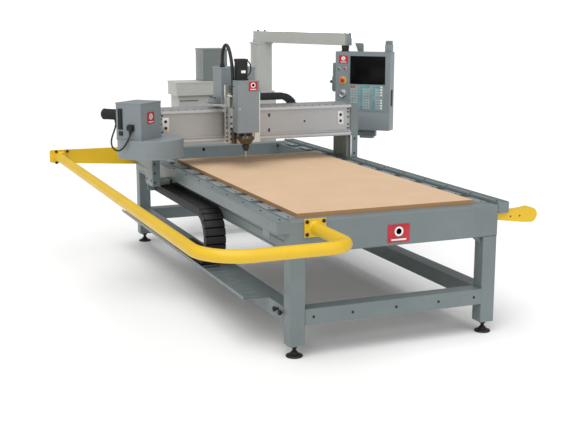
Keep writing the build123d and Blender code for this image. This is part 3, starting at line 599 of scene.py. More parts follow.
def make_table_chain():
    low, high = (Vector(p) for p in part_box("y_chain_bend"))
    link = 0.060
    x = (low.x + high.x) / 2
    width = high.x - low.x - 0.006
    centre = Vector((x, high.y, (low.z + high.z) / 2))
    radius = (high.z - low.z - link) / 2
    bent_chain(centre, Vector((0, -1, 0)), UP, radius, 11, link, width).done(
        "table_chain_bend", "y_chain_bend", "black_plastic", replaces=["y_chain_bend"])
    runs = (
        ("table_chain_lower", "y_chain_lower_run", -1),
        ("table_chain_upper", "y_chain_upper_run", 1),
    )
    for name, node, level in runs:
        run_low, run_high = (Vector(p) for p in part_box(node))
        length = run_high.y - run_low.y
        kit = straight_chain(
            Vector((x, run_low.y, centre.z + level * radius)), Vector((0, 1, 0)), UP,
            length, round(length / 0.050), link, width)
        piece = kit.done(name, None, "black_plastic", replaces=[node])
        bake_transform(piece)


def make_beam_chain():
    low, high = (Vector(p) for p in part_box("x_chain_bend"))
    link = 0.055
    y = (low.y + high.y) / 2
    width = high.y - low.y - 0.004
    centre = Vector((low.x, y, (low.z + high.z) / 2))
    radius = (high.z - low.z - link) / 2
    bent_chain(centre, Vector((1, 0, 0)), UP, radius, 9, link, width).done(
        "beam_chain_bend", "x_chain_bend", "black_plastic", replaces=["x_chain_bend"])
    runs = (
        ("beam_chain_lower", "x_chain_lower_run", -1),
        ("beam_chain_upper", "x_chain_upper_run", 1),
    )
    for name, node, level in runs:
        run_low, run_high = (Vector(p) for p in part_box(node))
        length = run_high.x - run_low.x
        kit = straight_chain(
            Vector((run_low.x, y, centre.z + level * radius)), Vector((1, 0, 0)), UP,
            length, round(length / 0.042), link, width)
        piece = kit.done(name, None, "black_plastic", replaces=[node])
        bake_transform(piece)


make_table_chain()
make_beam_chain()


# ------------------------------------------------------------------ badges
def badge(name, centre, right, width, height, body):
    """A plain red plate with a white ring and bar, upright, facing away from what it is fixed to."""
    right = Vector(right).normalized()
    outward = right.cross(UP)
    turn = Matrix((right, UP, outward)).transposed().to_4x4()
    place = Matrix.Translation(Vector(centre)) @ turn
    kit = Kit()
    kit.box((-width / 2, -height / 2, 0), (width / 2, height / 2, 0.003), 0.0012, place)
    kit.done(name + "_plate", body, "badge_red", "red_plastic")
    kit = Kit()
    ring = min(width, height) * 0.27
    start = place @ Vector((0, height * 0.10, 0.0031))
    hole, thick = ring * 0.62, 0.0008
    kit.lathe(start, outward, [(0, hole), (0, ring), (thick, ring), (thick, hole), (0, hole)], 32)
    kit.box((-width * 0.34, -height * 0.40, 0.0030), (width * 0.34, -height * 0.31, 0.0039),
            0.0004, place)
    kit.done(name + "_print", body, "white_print", "red_plastic")


badge("beam_badge", at(3, -1, 716), (1, 0, 0), 0.150, 0.112, "base")
badge("head_badge", at(-238, 1847, 1487), (1, 0, 0), 0.068, 0.068, "head")
badge("changer_badge", on_box(-8, -106, 1284), BOX_TURN.to_3x3() @ Vector((1, 0, 0)),
      0.088, 0.082, "gantry")


# ------------------------------------------------------------------ table details
def make_bolts():
    kit = Kit()
    front = Vector((0, -1, 0))
    for x in (-612, -504):
        for z in (757, 834):
            kit.bolt(at(x, -12, z), front, 0.0085)
    for x in (-1418, -1322):
        for z in (745, 841):
            kit.bolt(at(x, 3518, z), front, 0.0085)
    for x in (-560, -300, 0, 300, 560):
        kit.bolt(at(x, 0, 250), front, 0.0062, 0.004)
    for y in range(180, 3400, 620):
        kit.bolt(at(-715, y, 268), (-1, 0, 0), 0.0068, 0.005)
    kit.done("table_bolts", "base", "dark_steel", replaces=["frame_bolts"])
    knobs = Kit()
    for y in (120, 205):
        start = at(-715, y, 262)
        knobs.lathe(start, (-1, 0, 0), [
            (0, 0.007), (0.008, 0.007), (0.009, 0.014), (0.013, 0.017), (0.022, 0.017),
            (0.026, 0.013), (0.027, 0)], 28)
    knobs.done("rail_knobs", "base", "black_plastic")


def make_feet():
    kit = Kit()
    for x in (-665, 665):
        for y in (50, 3480):
            profile = [
                (0.0001, 0.050), (0.002, 0.052), (0.008, 0.052), (0.011, 0.050),
                (0.017, 0.034), (0.024, 0.024), (0.032, 0.020), (0.036, 0.014),
            ]
            threads = [(0.036 + 0.0015 * i, 0.012 if i % 2 else 0.0108) for i in range(14)]
            kit.lathe(at(x, y, 0), UP, profile + threads, 40)
            kit.hexagon(at(x, y, 57), UP, 0.038, 0.0185)
    kit.done("foot_pads", "base", "dark_steel", replaces=["levelling_feet"])


def make_cover_details():
    """Screws and ribs of the two rail covers, the left stop tab, and the slats' lips."""
    kit = Kit()
    for y in range(60, 3500, 305):
        kit.bolt(at(-757, y, 844), UP, 0.0055, 0.003)
        kit.bolt(at(742, y, 853), UP, 0.0055, 0.003)
    kit.done("cover_screws", "base", "dark_steel")
    strips = Kit()
    strips.box(at(-800.5, 4, 838), at(-797, 3526, 846.5), 0.001)
    strips.box(at(-717.5, 4, 840), at(-713, 3526, 849), 0.001)
    strips.box(at(723, 4, 853), at(727, 3526, 857), 0.001)
    strips.box(at(767, 4, 853), at(771, 3526, 856), 0.001)
    strips.box(at(793, 4, 853), at(797, 3526, 856.5), 0.001)
    strips.box(at(-718.5, 104, 700), at(-715, 3426, 706), 0.001)
    strips.box(at(-718.5, 104, 640), at(-715, 3426, 652), 0.001)
    strips.done("cover_ribs", "base", "frame_paint")
    corner = Kit()
    corner.prism([at(-800, 0, 772), at(-800, 0, 843), at(-770, -0.4, 843), at(-770, -0.4, 772)],
                 (0, 0.003, 0), 0.0006)
    corner.box(at(-799, 113, 724), at(-794, 227, 775), 0.0015)
    corner.done("left_stop_tab", "base", "frame_paint")
    ledge = Kit()
    for i in range(11):
        y = 100 + i * 305
        ledge.box(at(-704, y + 4, 838), at(-634, y + 201, 842.4), 0.0008)
        ledge.box(at(640, y + 4, 838), at(704, y + 201, 842.4), 0.0008)
    ledge.done("slat_lips", "base", "cover_paint")
    marks = Kit()
    for i in range(11):
        y = 100 + i * 305
        marks.bolt(at(-672, y + 30, 842.4), UP, 0.005, 0.003)
        marks.bolt(at(672, y + 30, 842.4), UP, 0.005, 0.003)
    marks.done("slat_screws", "base", "dark_steel")


def make_rail_joints():
    """Weld collars where the guard rail meets its plates, and a rib on the side handle."""
    kit = Kit()
    for x, y in ((-558, -12), (-1370, 3518)):
        kit.lathe(at(x, y, 793), (0, -1, 0), [
            (0, 0.046), (0.002, 0.045), (0.007, 0.039), (0.010, 0.0372)], 40)
    kit.done("guard_welds", "base", "yellow_paint")
    stiff = Kit()
    stiff.box(at(722, 28, 778), at(985, 97, 782), 0.0015)
    stiff.done("handle_top_rib", "base", "yellow_paint")


make_bolts()
make_feet()
make_cover_details()
make_rail_joints()


# ------------------------------------------------------------------ gantry details
def make_beam_details():
    kit = Kit()
    front = Vector((0, -1, 0))
    for i in range(26):
        kit.bolt(at(-840 + i * 62, 2185, 1293), UP, 0.0045, 0.003)
    for z in (1100, 1130, 1190, 1230, 1255):
        kit.bolt(at(717, 2182, z), front, 0.0055, 0.003)
        kit.bolt(at(-850, 2182, z), front, 0.0055, 0.003)
    for x in (649, -823):
        for z in (1160, 1210):
            kit.bolt(at(x, 2178, z), front, 0.0085, 0.004)
    for x in (20, 28):
        for z in (1222, 1236, 1104, 1118):
            kit.bolt(at(x, 2182, z), front, 0.0045, 0.003)
    kit.bolt(at(330, 2182, 1170), front, 0.006, 0.002)
    kit.done("beam_screws", "gantry", "dark_steel")
    plates = Kit()
    plates.box(at(622, 2178, 1132), at(676, 2182, 1240), 0.0008)
    plates.box(at(-850, 2178, 1132), at(-796, 2182, 1240), 0.0008)
    plates.done("beam_end_plates", "gantry", "bright_plate", "raw_aluminium")
    bands = Kit()
    bands.box(at(-869, 2164, 1074), at(736, 2171, 1084), 0.0012)
    bands.box(at(-869, 2164, 1268), at(736, 2171, 1271), 0.0006)
    bands.box(at(-869, 2162, 1041), at(736, 2171, 1048), 0.0012)
    bands.done("beam_bands", "gantry", "raw_aluminium")


def make_gantry_leg_details():
    kit = Kit()
    kit.box(at(735.5, 2166, 858), at(748, 2172, 1040), 0.0008)
    kit.done("leg_bright_strip", "gantry", "bright_plate", "raw_aluminium")
    inner = Kit()
    inner.box(at(709, 2192, 860), at(713, 2438, 1039), 0.001)
    inner.done("leg_inner_plate", "gantry", "olive_metal")
    screws = Kit()
    for z in (890, 1010):
        screws.bolt(at(774, 2170, z), (0, -1, 0), 0.006, 0.004)
    screws.done("leg_screws", "gantry", "dark_steel")


def make_drive_details():
    kit = Kit()
    low, high = (Vector(p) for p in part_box("y_drive_motor"))
    y, z = (low.y + high.y) / 2, (low.z + high.z) / 2
    start, reach = Vector((low.x, y, z)), high.x - low.x
    profile = [
        (0, 0.030), (reach * 0.12, 0.030), (reach * 0.14, 0.0275), (reach * 0.78, 0.0275),
        (reach * 0.80, 0.0295), (reach * 0.92, 0.0295), (reach * 0.95, 0.020),
        (reach, 0.018), (reach, 0.0085), (reach * 0.5, 0.0085),
    ]
    kit.lathe(start, (1, 0, 0), profile, 40)
    kit.done("drive_motor_body", "gantry", "olive_metal", replaces=["y_drive_motor"])
    screws = Kit()
    for z in (760, 830, 900, 965):
        screws.bolt(at(-940, 2100, z), (0, -1, 0), 0.0055, 0.004)
    for y in (2140, 2260):
        for z in (770, 950):
            screws.bolt(at(-957, y, z), (-1, 0, 0), 0.0055, 0.004)
    screws.done("bracket_screws", "gantry", "dark_steel")


make_beam_details()
make_gantry_leg_details()
make_drive_details()


# ------------------------------------------------------------------ tool changer details
def make_changer_details():
    lid = Kit()
    lid.box((-0.138, -0.107, 1.384), (0.138, 0.107, 1.395), 0.002, BOX_TURN)
    lid.box((-0.140, -0.109, 1.130), (0.140, 0.109, 1.136), 0.0015, BOX_TURN)
    lid.done("changer_lid", "gantry", "cover_paint")
    rim = Kit()
    centre = at(-1020, 1900, 0)
    rim.lathe(centre + UP * 0.9945, UP, [
        (0, 0.2395), (0.001, 0.2408), (0.005, 0.2412), (0.007, 0.2402), (0.007, 0.2390)], 96)
    rim.done("drum_rim", "gantry", "cover_paint")
    motor = Kit()
    start = on_box(-85, 105, 1303)
    away = BOX_TURN.to_3x3() @ Vector((0, 1, 0))
    profile = [(0, 0.046), (0.006, 0.046), (0.008, 0.037)]
    for i in range(14):
        fin = i * 0.008
        profile += [
            (0.010 + fin, 0.0385), (0.014 + fin, 0.0385),
            (0.015 + fin, 0.0365), (0.017 + fin, 0.0365),
        ]
    profile += [(0.124, 0.0398), (0.135, 0.0398), (0.1445, 0.031), (0.145, 0)]
    motor.lathe(start, away, profile, 56)
    motor.lathe(on_box(-85, 140, 1264.5), -UP, [
        (0, 0.013), (0.004, 0.013), (0.005, 0.010), (0.020, 0.0098), (0.022, 0.0085)], 24)
    motor.done("changer_motor_body", "gantry", "black_plastic", replaces=["changer_motor"])
    plug = Kit()
    for low, high, bevel in (
            ((-0.142, 0.048, 1.203), (-0.1355, 0.086, 1.352), 0.0015),
            ((-0.148, 0.056, 1.212), (-0.1415, 0.076, 1.342), 0.002),
            ((-0.143, 0.048, 1.160), (-0.1355, 0.080, 1.190), 0.0015),
            ((-0.146, -0.050, 1.196), (-0.1355, 0.002, 1.242), 0.0015),
            ((-0.171, -0.045, 1.202), (-0.145, -0.004, 1.237), 0.004)):
        plug.box(low, high, bevel, BOX_TURN)
    plug.lathe(on_box(-154, -25, 1203), -UP, [
        (0, 0.0115), (0.012, 0.0115), (0.014, 0.0095), (0.030, 0.0082)], 24)
    plug.done("changer_plug", "gantry", "black_plastic", replaces=["changer_connector"])


make_changer_details()


# ------------------------------------------------------------------ carriage and head details
def make_carriage_details():
    front = Vector((0, -1, 0))
    block = Kit()
    block.box(at(-352, 2076, 1330), at(-318, 2111, 1478), 0.0015)
    block.box(at(-349, 2068, 1344), at(-321, 2077, 1388), 0.001)
    block.box(at(-349, 2068, 1398), at(-321, 2077, 1442), 0.001)
    block.done("z_rail_block", "carriage", "olive_metal")
    plates = Kit()
    plates.box(at(-367, 2105, 1034), at(-355, 2112, 1300), 0.0008)
    plates.box(at(-306, 2105, 1034), at(-292, 2111, 1330), 0.0008)
    plates.done("carriage_strips", "carriage", "bright_plate", "raw_aluminium")
    foot = Kit()
    foot.box(at(-338, 2084, 1030), at(-262, 2109, 1062), 0.0015)
    foot.box(at(-330, 2074, 1036), at(-306, 2085, 1094), 0.0012)
    foot.done("rail_stop", "carriage", "bronze")
    wedge = Kit()
    wedge.prism([at(-420, 2215, 1326), at(-365, 2215, 1326), at(-365, 2215, 1352),
                 at(-420, 2215, 1372)], (0, 0.150, 0), 0.002)
    wedge.box(at(-440, 2215, 1326), at(-365, 2365, 1331), 0.0015)
    wedge.done("cover_bracket", "carriage", "frame_paint")
    screws = Kit()
    for z in (1052, 1082, 1112, 1152, 1192, 1232, 1272):
        screws.bolt(at(-359.5, 2104, z), front, 0.004, 0.003)
        screws.bolt(at(-309, 2104, z), front, 0.004, 0.003)
    for y in (2235, 2290, 2345):
        screws.bolt(at(-408, y, 1370), UP, 0.007, 0.007)
    screws.done("carriage_screws", "carriage", "dark_steel")
    lid = Kit()
    lid.box(at(-369, 2198, 1594), at(-85, 2402, 1608), 0.003)
    lid.done("motor_cover_lid", "carriage", "cover_paint")
    gland = Kit()
    gland.lathe(at(-335, 2262, 1606), UP, [
        (0, 0.022), (0.010, 0.022), (0.011, 0.018), (0.030, 0.0165), (0.031, 0.0138)], 28)
    gland.done("conduit_gland", "carriage", "black_plastic")


def make_head_details():
    cover_low, cover_high = (Vector(p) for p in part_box("head_cover"))
    lid = Kit()
    lid.box(cover_low + Vector((-0.0012, -0.0012, 0.382)),
            cover_high + Vector((0.0012, 0.001, 0.0014)), 0.0025)
    lid.done("head_lid", "head", "cover_paint")
    sides = Kit()
    sides.box(at(-361, 1862, 1139), at(-359, 1950, 1512), 0.0006)
    sides.box(at(-188, 1862, 1139), at(-186, 1950, 1512), 0.0006)
    sides.done("head_side_flanges", "head", "cover_paint")
    fasteners = Kit()
    for z in (1170, 1320, 1480):
        fasteners.bolt(at(-361, 1935, z), (-1, 0, 0), 0.0045, 0.003)
    for z in (1070, 1110, 1150, 1190, 1240):
        fasteners.bolt(at(-345, 2040, z), (0, -1, 0), 0.0055, 0.004)
    fasteners.done("head_screws", "head", "dark_steel")
    tag = Kit()
    tag.lathe(at(-344, 1848.5, 1318), (0, -1, 0), [
        (0, 0.010), (0.0012, 0.010), (0.0018, 0.009), (0.0018, 0)], 24)
    tag.done("head_plug", "head", "key_grey", "cover_paint")
    plate = Kit()
    plate.box(at(-356, 2036, 1312), at(-300, 2041, 1419), 0.001)
    for z in (1336, 1376):
        plate.box(at(-352, 2033, z), at(-338, 2037, z + 26), 0.001)
    plate.done("plate_face", "head", "olive_metal")
    mount = Kit()
    mount.box(at(-330, 1962, 1132), at(-228, 2040, 1156), 0.002)
    mount.box(at(-343, 1990, 1040), at(-318, 2040, 1150), 0.0015)
    mount.done("nose_mount", "head", "bronze")


def make_nose():
    """A flared bronze ring with upright prongs between open gaps, and the throat inside it."""
    centre = at(-279, 1900, 0)
    kit = Kit()
    kit.lathe(centre + UP * 1.050, UP, [
        (0, 0.036), (0, 0.041), (0.006, 0.044), (0.030, 0.060), (0.038, 0.067),
        (0.046, 0.068), (0.050, 0.066), (0.050, 0.056), (0.044, 0.054), (0.020, 0.040),
        (0.002, 0.036), (0, 0.036)], 64)
    # each prong's outline as (half width, height, lean), up one side and down the other
    prong = [(-0.011, 0, 0), (0.011, 0, 0), (0.008, 0.012, 0.001), (0.0055, 0.034, 0.004),
             (0.0055, 0.042, 0.004), (-0.0055, 0.042, 0.004), (-0.0055, 0.034, 0.004),
             (-0.008, 0.012, 0.001)]
    for i in range(8):
        angle = radians(22 + i * 45)
        out = Vector((cos(angle), sin(angle), 0))
        across = Vector((-sin(angle), cos(angle), 0))
        base = centre + out * 0.0585 + UP * 1.094
        outline = [base + across * half + UP * rise + out * lean for half, rise, lean in prong]
        kit.prism(outline, out * 0.006, 0.0012)
    for i in range(8):
        angle = radians(44.5 + i * 45)
        out = Vector((cos(angle), sin(angle), 0))
        middle = centre + UP * 1.094
        kit.bar(middle + out * 0.0655, middle + out * 0.0695, 0.0045, steps=14)
    kit.done("nose_ring", "head", "bronze", replaces=["spindle_nose"])
    throat = Kit()
    throat.lathe(centre + UP * 1.066, UP, [
        (0, 0.018), (0, 0.031), (0.010, 0.036), (0.034, 0.037), (0.040, 0.045),
        (0.084, 0.046)], 48)
    throat.done("spindle_throat", "head", "dark_steel", "bronze")


def make_spindle():
    centre = at(-279, 1900, 0)
    kit = Kit()
    kit.lathe(centre, UP, [
        (0.996, 0.0085), (0.996, 0.0155), (1.000, 0.0175), (1.016, 0.0245), (1.018, 0.026),
        (1.021, 0.0262), (1.023, 0.0250), (1.026, 0.0250), (1.028, 0.0262), (1.040, 0.0262),
        (1.044, 0.0245), (1.048, 0.0150), (1.060, 0.0138), (1.300, 0.0138)], 48)
    grips = 12
    for i in range(grips):
        turn = Matrix.Translation(centre) @ Matrix.Rotation(2 * pi * i / grips, 4, "Z")
        kit.box((0.0252, -0.0016, 1.0285), (0.0275, 0.0016, 1.0400), 0.0005, turn)
    kit.done("collet_nut", "spindle", "dark_steel", replaces=["spindle_shaft"])
    tool = Kit()
    tool.lathe(centre + UP * 0.976, UP, [(0, 0.0039), (0.001, 0.004), (0.030, 0.004)], 20)
    turns, rows, around = 1.6, 28, 16
    core = []
    for k in range(rows + 1):
        z = 0.949 + 0.0275 * k / rows
        twist = 2 * pi * turns * k / rows
        ring = []
        for i in range(around):
            angle = 2 * pi * i / around
            reach = 0.0024 + 0.0015 * cos(angle) ** 2
            point = Vector((reach * cos(angle + twist), reach * sin(angle + twist), z))
            ring.append(tool.bm.verts.new(centre + point))
        core.append(ring)
    for a, b in zip(core, core[1:]):
        for i in range(around):
            j = (i + 1) % around
            tool.bm.faces.new((a[i], a[j], b[j], b[i]))
    tool.bm.faces.new(list(reversed(core[0])))
    tool.bm.faces.new(core[-1])
    tool.done("cutter_flutes", "spindle", "chrome_knob", "steel", replaces=["cutter"])


def make_spindle_motor():
    low, high = (Vector(p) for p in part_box("spindle_motor"))
    kit = Kit()
    kit.box(low, Vector((high.x, high.y, low.z + 0.016)), 0.002)
    kit.box(low + Vector((0.004, 0.004, 0.016)), high - Vector((0.004, 0.004, 0.022)), 0.006)
    kit.box(Vector((low.x, low.y, high.z - 0.024)), high - Vector((0, 0, 0.0008)), 0.005)
    for i in range(9):
        z = low.z + 0.024 + i * 0.0125
        kit.box((low.x + 0.0015, low.y + 0.0015, z), (high.x - 0.0015, high.y - 0.0015, z + 0.005),
                0.0015)
    kit.done("spindle_motor_body", "head", "black_plastic", replaces=["spindle_motor"])
    label = Kit()
    label.box((low.x + 0.028, low.y - 0.0006, high.z - 0.106),
              (low.x + 0.062, low.y + 0.004, high.z - 0.086), 0.0004)
    label.done("motor_label", "head", "white_print", "black_plastic")
    bends = [at(x, 1944, z) for x, z in LEAD_ROUTE]
    loop = spline_curve("brake_lead", bends, 0.0048)
    loop.data.materials.append(M["black_rubber"])
    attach(loop, "head")
    route = line_points(bends)


make_carriage_details()
make_head_details()
make_nose()
make_spindle()
make_spindle_motor()


# ------------------------------------------------------------------ cabinet and boom details
POST_CENTRE = at(610, 3850, 0)
ARM_END = at(992, 2812, 0)


def make_cabinet_details():
    hood = Kit()
    hood.box(at(-293, 3662, 1383), at(503, 3940, 1397), 0.003)
    hood.box(at(-261, 3697, 1262), at(703, 3940, 1276.5), 0.002)
    hood.done("hood_lips", "base", "cabinet_paint")
    # The slot under the hood is filled with a black strip, with a round black end at each side: painted shade
    # of the open slot.
    slot_shade = Kit()
    slot_shade.box(at(-236, 3701, 1221), at(-86, 3705, 1227), 0.0005)
    for x in (-242, -80):
        slot_shade.bar(at(x, 3701, 1224), at(x, 3697, 1224), 0.005, steps=14)
    slot_shade.done("hood_slot_shade", "base", "black_plastic")
    fittings = Kit()
    for x in (300, 360, 420):
        fittings.lathe(at(x, 3720, 1397), UP, [
            (0, 0.013), (0.006, 0.013), (0.008, 0.010), (0.020, 0.010), (0.022, 0.006)], 20)
    fittings.done("hood_glands", "base", "black_plastic")
    box_low, box_high = (Vector(p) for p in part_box("resistor_box"))
    cap = Kit()
    cap.box(box_low + Vector((-0.003, -0.003, 0.281)), box_high + Vector((0.003, 0.003, 0.002)),
            0.002)
    for i in range(9):
        z = box_low.z + 0.05 + i * 0.022
        cap.box((box_low.x - 0.0025, box_low.y + 0.05, z),
                (box_low.x + 0.001, box_high.y - 0.05, z + 0.010), 0.001)
        cap.box((box_low.x + 0.05, box_high.y - 0.001, z),
                (box_high.x - 0.05, box_high.y + 0.0025, z + 0.010), 0.001)
    cap.done("resistor_lid_and_louvres", "base", "resistor_paint", "olive_metal")
    door_low, door_high = (Vector(p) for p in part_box("cabinet_door"))
    latch = Kit()
    latch.box((door_low.x + 0.04, door_high.y - 0.004, 0.86),
              (door_low.x + 0.075, door_high.y - 0.0004, 0.98), 0.002)
    latch.done("door_latch", "cabinet_door", "black_plastic")
    panels = Kit()
    for z0, z1 in ((0.64, 0.82), (1.02, 1.20)):
        panels.box((door_low.x + 0.10, door_high.y - 0.002, z0),
                   (door_high.x - 0.10, door_high.y - 0.0002, z1), 0.0015)
    panels.done("door_panels", "cabinet_door", "cabinet_paint")
    hinges = Kit()
    for z in (640, 880, 1120):
        hinges.bar(at(705, 3950, z), at(705, 3950, z + 70), 0.006, steps=18)
    hinges.done("door_hinge_pins", "base", "dark_steel")
    glands = Kit()
    for x in (150, 230, 310):
        glands.bar(at(x, 3701, 660), at(x, 3680, 660), 0.020, steps=24)
    glands.done("cabinet_glands", "base", "black_plastic")


def make_boom_details():
    plate = Kit()
    plate.box(at(512, 3752, 1275.5), at(708, 3948, 1287), 0.002)
    plate.box(at(524, 3764, 1728), at(696, 3936, 1741), 0.002)
    plate.done("post_flanges", "base", "cabinet_paint")
    reach = ARM_END - POST_CENTRE
    along = reach.normalized()
    turn = Matrix((along, UP.cross(along), UP)).transposed().to_4x4()
    place = Matrix.Translation(POST_CENTRE) @ turn
    length = reach.length
    caps = Kit()
    caps.box((-0.0856, -0.0323, 1.7415), (-0.078, 0.0323, 1.8485), 0.003, place)
    caps.box((length + 0.0278, -0.0323, 1.7415), (length + 0.0452, 0.0323, 1.8485), 0.003, place)
    caps.done("arm_end_caps", "boom", "cover_paint")
    screws = Kit()
    for x in (-0.046, 0.051):
        screws.lathe(place @ Vector((x, 0, 1.8475)), UP, [
            (0, 0.0125), (0.012, 0.0125), (0.0155, 0.0100), (0.0163, 0)], 24)
    for x in (length - 0.03, length + 0.03):
        screws.bolt(place @ Vector((x, 0.02, 1.8475)), UP, 0.007, 0.004)
    screws.done("arm_screws", "boom", "dark_steel")
    swivel = Kit()
    foot = ARM_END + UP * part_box("pendant_swivel")[0][2]
    swivel.lathe(foot, UP, [
        (0, 0.034), (0.008, 0.034), (0.010, 0.030), (0.022, 0.030), (0.024, 0.033),
        (0.046, 0.033), (0.0505, 0.031), (0.0515, 0.0195), (0.088, 0.0195)], 48)
    swivel.done("swivel_joint", "pendant", "black_plastic", "dark_steel", replaces=["pendant_swivel"])


make_cabinet_details()
make_boom_details()


# ------------------------------------------------------------------ pendant
PENDANT = Matrix.Translation(ARM_END) @ Matrix.Rotation(radians(-45), 4, "Z")
FACE = -0.060  # depth of the case's front face
DIAL_X = 0.002  # the stop button and the jog wheel share one upright line


def on_pendant(x, depth, z):
    """A point on the pendant: metres right of its pivot, behind it and above the floor."""
    return PENDANT @ Vector((x, depth, z))


def make_pendant():
    inward = PENDANT.to_3x3() @ Vector((0, 1, 0))
    outward = -inward
    case = Kit()
    for x0, x1, z0, z1 in (
            (0.058, 0.392, 1.405, 1.4135), (0.058, 0.392, 1.6545, 1.664),
            (0.058, 0.0665, 1.4135, 1.6545), (0.3845, 0.392, 1.4135, 1.6545)):
        case.box((x0, FACE - 0.003, z0), (x1, FACE + 0.002, z1), 0.0015, PENDANT)
    case.box((-0.064, FACE - 0.0015, 1.026), (0.424, FACE + 0.001, 1.170), 0.001, PENDANT)
    case.box((-0.066, -0.0615, 1.0185), (0.424, 0.0575, 1.0245), 0.002, PENDANT)
    case.done("pendant_bezel", "pendant", "cover_paint")
    glass = Kit()
    glass.box((0.0665, FACE + 0.001, 1.4135), (0.3845, FACE + 0.0042, 1.6545), 0.001, PENDANT)
    glass.done("screen_window", "pendant", "screen_glass", replaces=["pendant_screen"])

    keypad = Kit()
    keypad.box((0.066, FACE - 0.0024, 1.188), (0.370, FACE - 0.0012, 1.405), 0.0005, PENDANT)
    keypad.done("keypad_field", "pendant", "keypad_field", "cover_paint")
    kinds = {"key_grey": Kit(), "key_teal": Kit(), "red_plastic": Kit(), "white_print": Kit()}
    columns, rows, key_pitch = 13, 9, 0.0226
    for column in range(columns):
        for row in range(rows):
            if column in (3, 8) or (row == 4 and column > 8):
                continue
            kind = "key_grey"
            if column in (4, 9) or (row == 0 and column > 3):
                kind = "key_teal"
            if row == 0 and column < 2:
                kind = "red_plastic"
            if column == 12 or (row == rows - 1 and column < 3):
                kind = "white_print"
            x = 0.074 + column * key_pitch
            z = 1.384 - row * key_pitch
            kinds[kind].box((x, FACE - 0.0042, z), (x + 0.0165, FACE - 0.002, z + 0.0145),
                            0.0008, PENDANT)
    for kind, kit in kinds.items():
        slot = kind if kind == "red_plastic" else "cover_paint"
        kit.done("keys_" + kind, "pendant", kind, slot)

    collars = Kit()
    for x in (-0.034, 0.021):
        collars.lathe(on_pendant(x, FACE, 1.543), outward, [
            (0, 0.0145), (0.002, 0.0145), (0.004, 0.0125), (0.004, 0.0094), (0, 0.0094)], 32)
    collars.lathe(on_pendant(DIAL_X, FACE, 1.327), outward, [
        (0, 0.036), (0.0012, 0.036), (0.0018, 0.034), (0.0018, 0.010), (0, 0.010)], 56)
    collars.done("button_collars", "pendant", "chrome_knob")
    ring = Kit()
    ring.lathe(on_pendant(DIAL_X, FACE, 1.444), outward, [
        (0, 0.0325), (0.0025, 0.0325), (0.0046, 0.030), (0.0048, 0.0112), (0, 0.0112)], 56)
    ring.done("stop_ring", "pendant", "yellow_plastic", "yellow_paint")

    buttons = (("start_button", -0.034, "green_plastic"), ("hold_button", 0.021, "red_plastic"))
    for name, x, material in buttons:
        kit = Kit()
        kit.lathe(on_pendant(x, FACE + 0.014, 1.543), outward, [
            (0, 0.0086), (0.016, 0.0088), (0.0185, 0.0086), (0.0198, 0.007), (0.0202, 0)], 32)
        kit.done(name + "_cap", name, material, replaces=[name])
    stop = Kit()
    stop.lathe(on_pendant(DIAL_X, FACE + 0.017, 1.444), outward, [
        (0, 0.0105), (0.028, 0.0105), (0.0295, 0.015), (0.031, 0.0195), (0.036, 0.0205),
        (0.041, 0.0195), (0.045, 0.016), (0.0468, 0.009), (0.047, 0)], 48)
    stop.done("stop_mushroom", "emergency_stop", "red_plastic", replaces=["emergency_stop"])
    wheel = Kit()
    start = on_pendant(DIAL_X, FACE - 0.0022, 1.327)
    wheel.lathe(start, outward, [
        (0, 0.028), (0.001, 0.0295), (0.013, 0.0295), (0.017, 0.0275), (0.0185, 0.024),
        (0.0170, 0.021), (0.0165, 0.010), (0.017, 0)], 60)
    turn = outward.to_track_quat("Z", "Y").to_matrix().to_4x4()
    ridges = 30
    for i in range(ridges):
        place = Matrix.Translation(start) @ turn @ Matrix.Rotation(2 * pi * i / ridges, 4, "Z")
        wheel.box((0.0285, -0.0009, 0.0015), (0.0302, 0.0009, 0.0125), 0.0004, place)
    wheel.lathe(on_pendant(DIAL_X, FACE - 0.018, 1.3435), outward, [
        (0, 0.0052), (0.005, 0.0052), (0.006, 0.0042), (0.006, 0)], 24)
    wheel.done("jog_knob", "jog_wheel", "chrome_knob", replaces=["jog_wheel"])

    holder = Kit()
    holder.box((-0.104, -0.030, 1.340), (-0.0695, 0.022, 1.590), 0.004, PENDANT)
    holder.box((-0.112, -0.026, 1.350), (-0.1035, 0.018, 1.470), 0.003, PENDANT)
    holder.done("pendant_holder", "pendant", "frame_paint")
    knob = Kit()
    side = PENDANT.to_3x3() @ Vector((-1, 0, 0))
    knob.lathe(on_pendant(-0.112, -0.005, 1.425), side, [
        (0, 0.006), (0.008, 0.006), (0.010, 0.013), (0.018, 0.014), (0.022, 0.010), (0.023, 0)], 24)
    knob.done("holder_knob", "pendant", "black_plastic")
    hook = Kit()
    outline = [(0.106, 1.688), (0.155, 1.688), (0.154, 1.750), (0.143, 1.762), (0.080, 1.762),
               (0.082, 1.750)]
    hook.prism([on_pendant(x, 0.030, z) for x, z in outline], inward * 0.014, 0.002)
    hook.done("pendant_hook", "pendant", "frame_paint")
    post = Kit()
    post.box((0.366, -0.024, 1.6885), (0.424, 0.034, 1.756), 0.003, PENDANT)
    post.done("beacon_post", "pendant", "cover_paint")
    cap = Kit()
    cap.box((0.369, -0.021, 1.755), (0.421, 0.031, 1.786), 0.006, PENDANT)
    cap.done("beacon_cap", "pendant", "frame_paint")
    strip = Kit()
    strip.box((0.4285, -0.030, 1.230), (0.4335, 0.010, 1.370), 0.0015, PENDANT)
    strip.done("port_strip", "pendant", "black_plastic")
    under = Kit()
    under.box((0.130, -0.020, 0.962), (0.290, 0.030, 1.020), 0.004, PENDANT)
    under.box((0.150, -0.026, 0.944), (0.270, 0.036, 0.966), 0.003, PENDANT)
    under.done("pendant_bracket", "pendant", "frame_paint")
    badge("pendant_badge", on_pendant(0.005, FACE - 0.001, 1.625), -side, 0.080, 0.066, "pendant")


make_pendant()


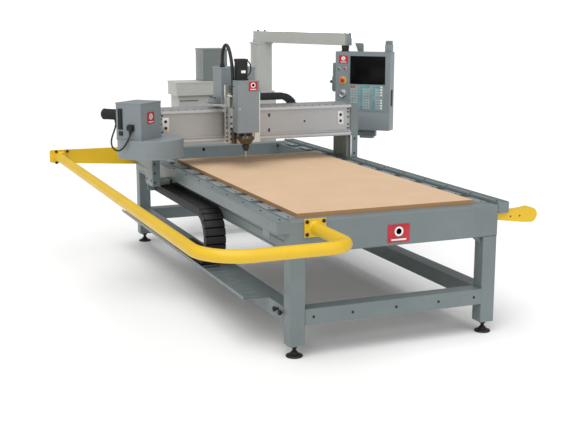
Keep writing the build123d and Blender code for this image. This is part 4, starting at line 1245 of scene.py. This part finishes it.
# ------------------------------------------------------------------ studio
def make_studio():
    size = 60
    floor_mesh = bpy.data.meshes.new("floor")
    corners = [(-size, -size, 0), (size, -size, 0), (size, size, 0), (-size, size, 0)]
    floor_mesh.from_pydata(corners, [], [(0, 1, 2, 3)])
    floor = bpy.data.objects.new("floor", floor_mesh)
    bpy.context.collection.objects.link(floor)
    n = Nodes("studio_floor")
    n.colour(n.ramp(n.noise(0.6, 3), (0.3, (0.90, 0.90, 0.90)), (0.8, (0.93, 0.93, 0.93))))
    n.roughness(n.spread(n.noise(2, 2), 0.8, 0.9))
    n.shader.inputs["Specular IOR Level"].default_value = 0.1
    floor_mesh.materials.append(n.material)

    # the surroundings look white to the camera and stay dim in what they light and reflect
    world = bpy.data.worlds.new("studio")
    world.use_nodes = True
    tree = world.node_tree
    background = tree.nodes["Background"]
    background.inputs["Color"].default_value = (1.0, 1.0, 1.0, 1)
    path = tree.nodes.new("ShaderNodeLightPath")
    level = tree.nodes.new("ShaderNodeMapRange")
    level.inputs["To Min"].default_value = 0.42
    level.inputs["To Max"].default_value = 6.0
    tree.links.new(path.outputs["Is Camera Ray"], level.inputs["Value"])
    tree.links.new(level.outputs["Result"], background.inputs["Strength"])
    bpy.context.scene.world = world
    bpy.context.scene.view_settings.view_transform = "Standard"

    def sun(name, toward, strength, spread):
        data = bpy.data.lights.new(name, "SUN")
        data.energy, data.angle = strength, radians(spread)
        light = bpy.data.objects.new(name, data)
        light.location = (0, 0, 5)
        light.rotation_euler = Vector(toward).to_track_quat("-Z", "Y").to_euler()
        bpy.context.collection.objects.link(light)

    sun("top", (0.15, 0.10, -1), 1.75, 55)
    sun("left", (0.75, 0.75, -0.75), 0.95, 45)
    sun("front", (-0.30, 1.0, -0.55), 0.65, 45)


make_studio()
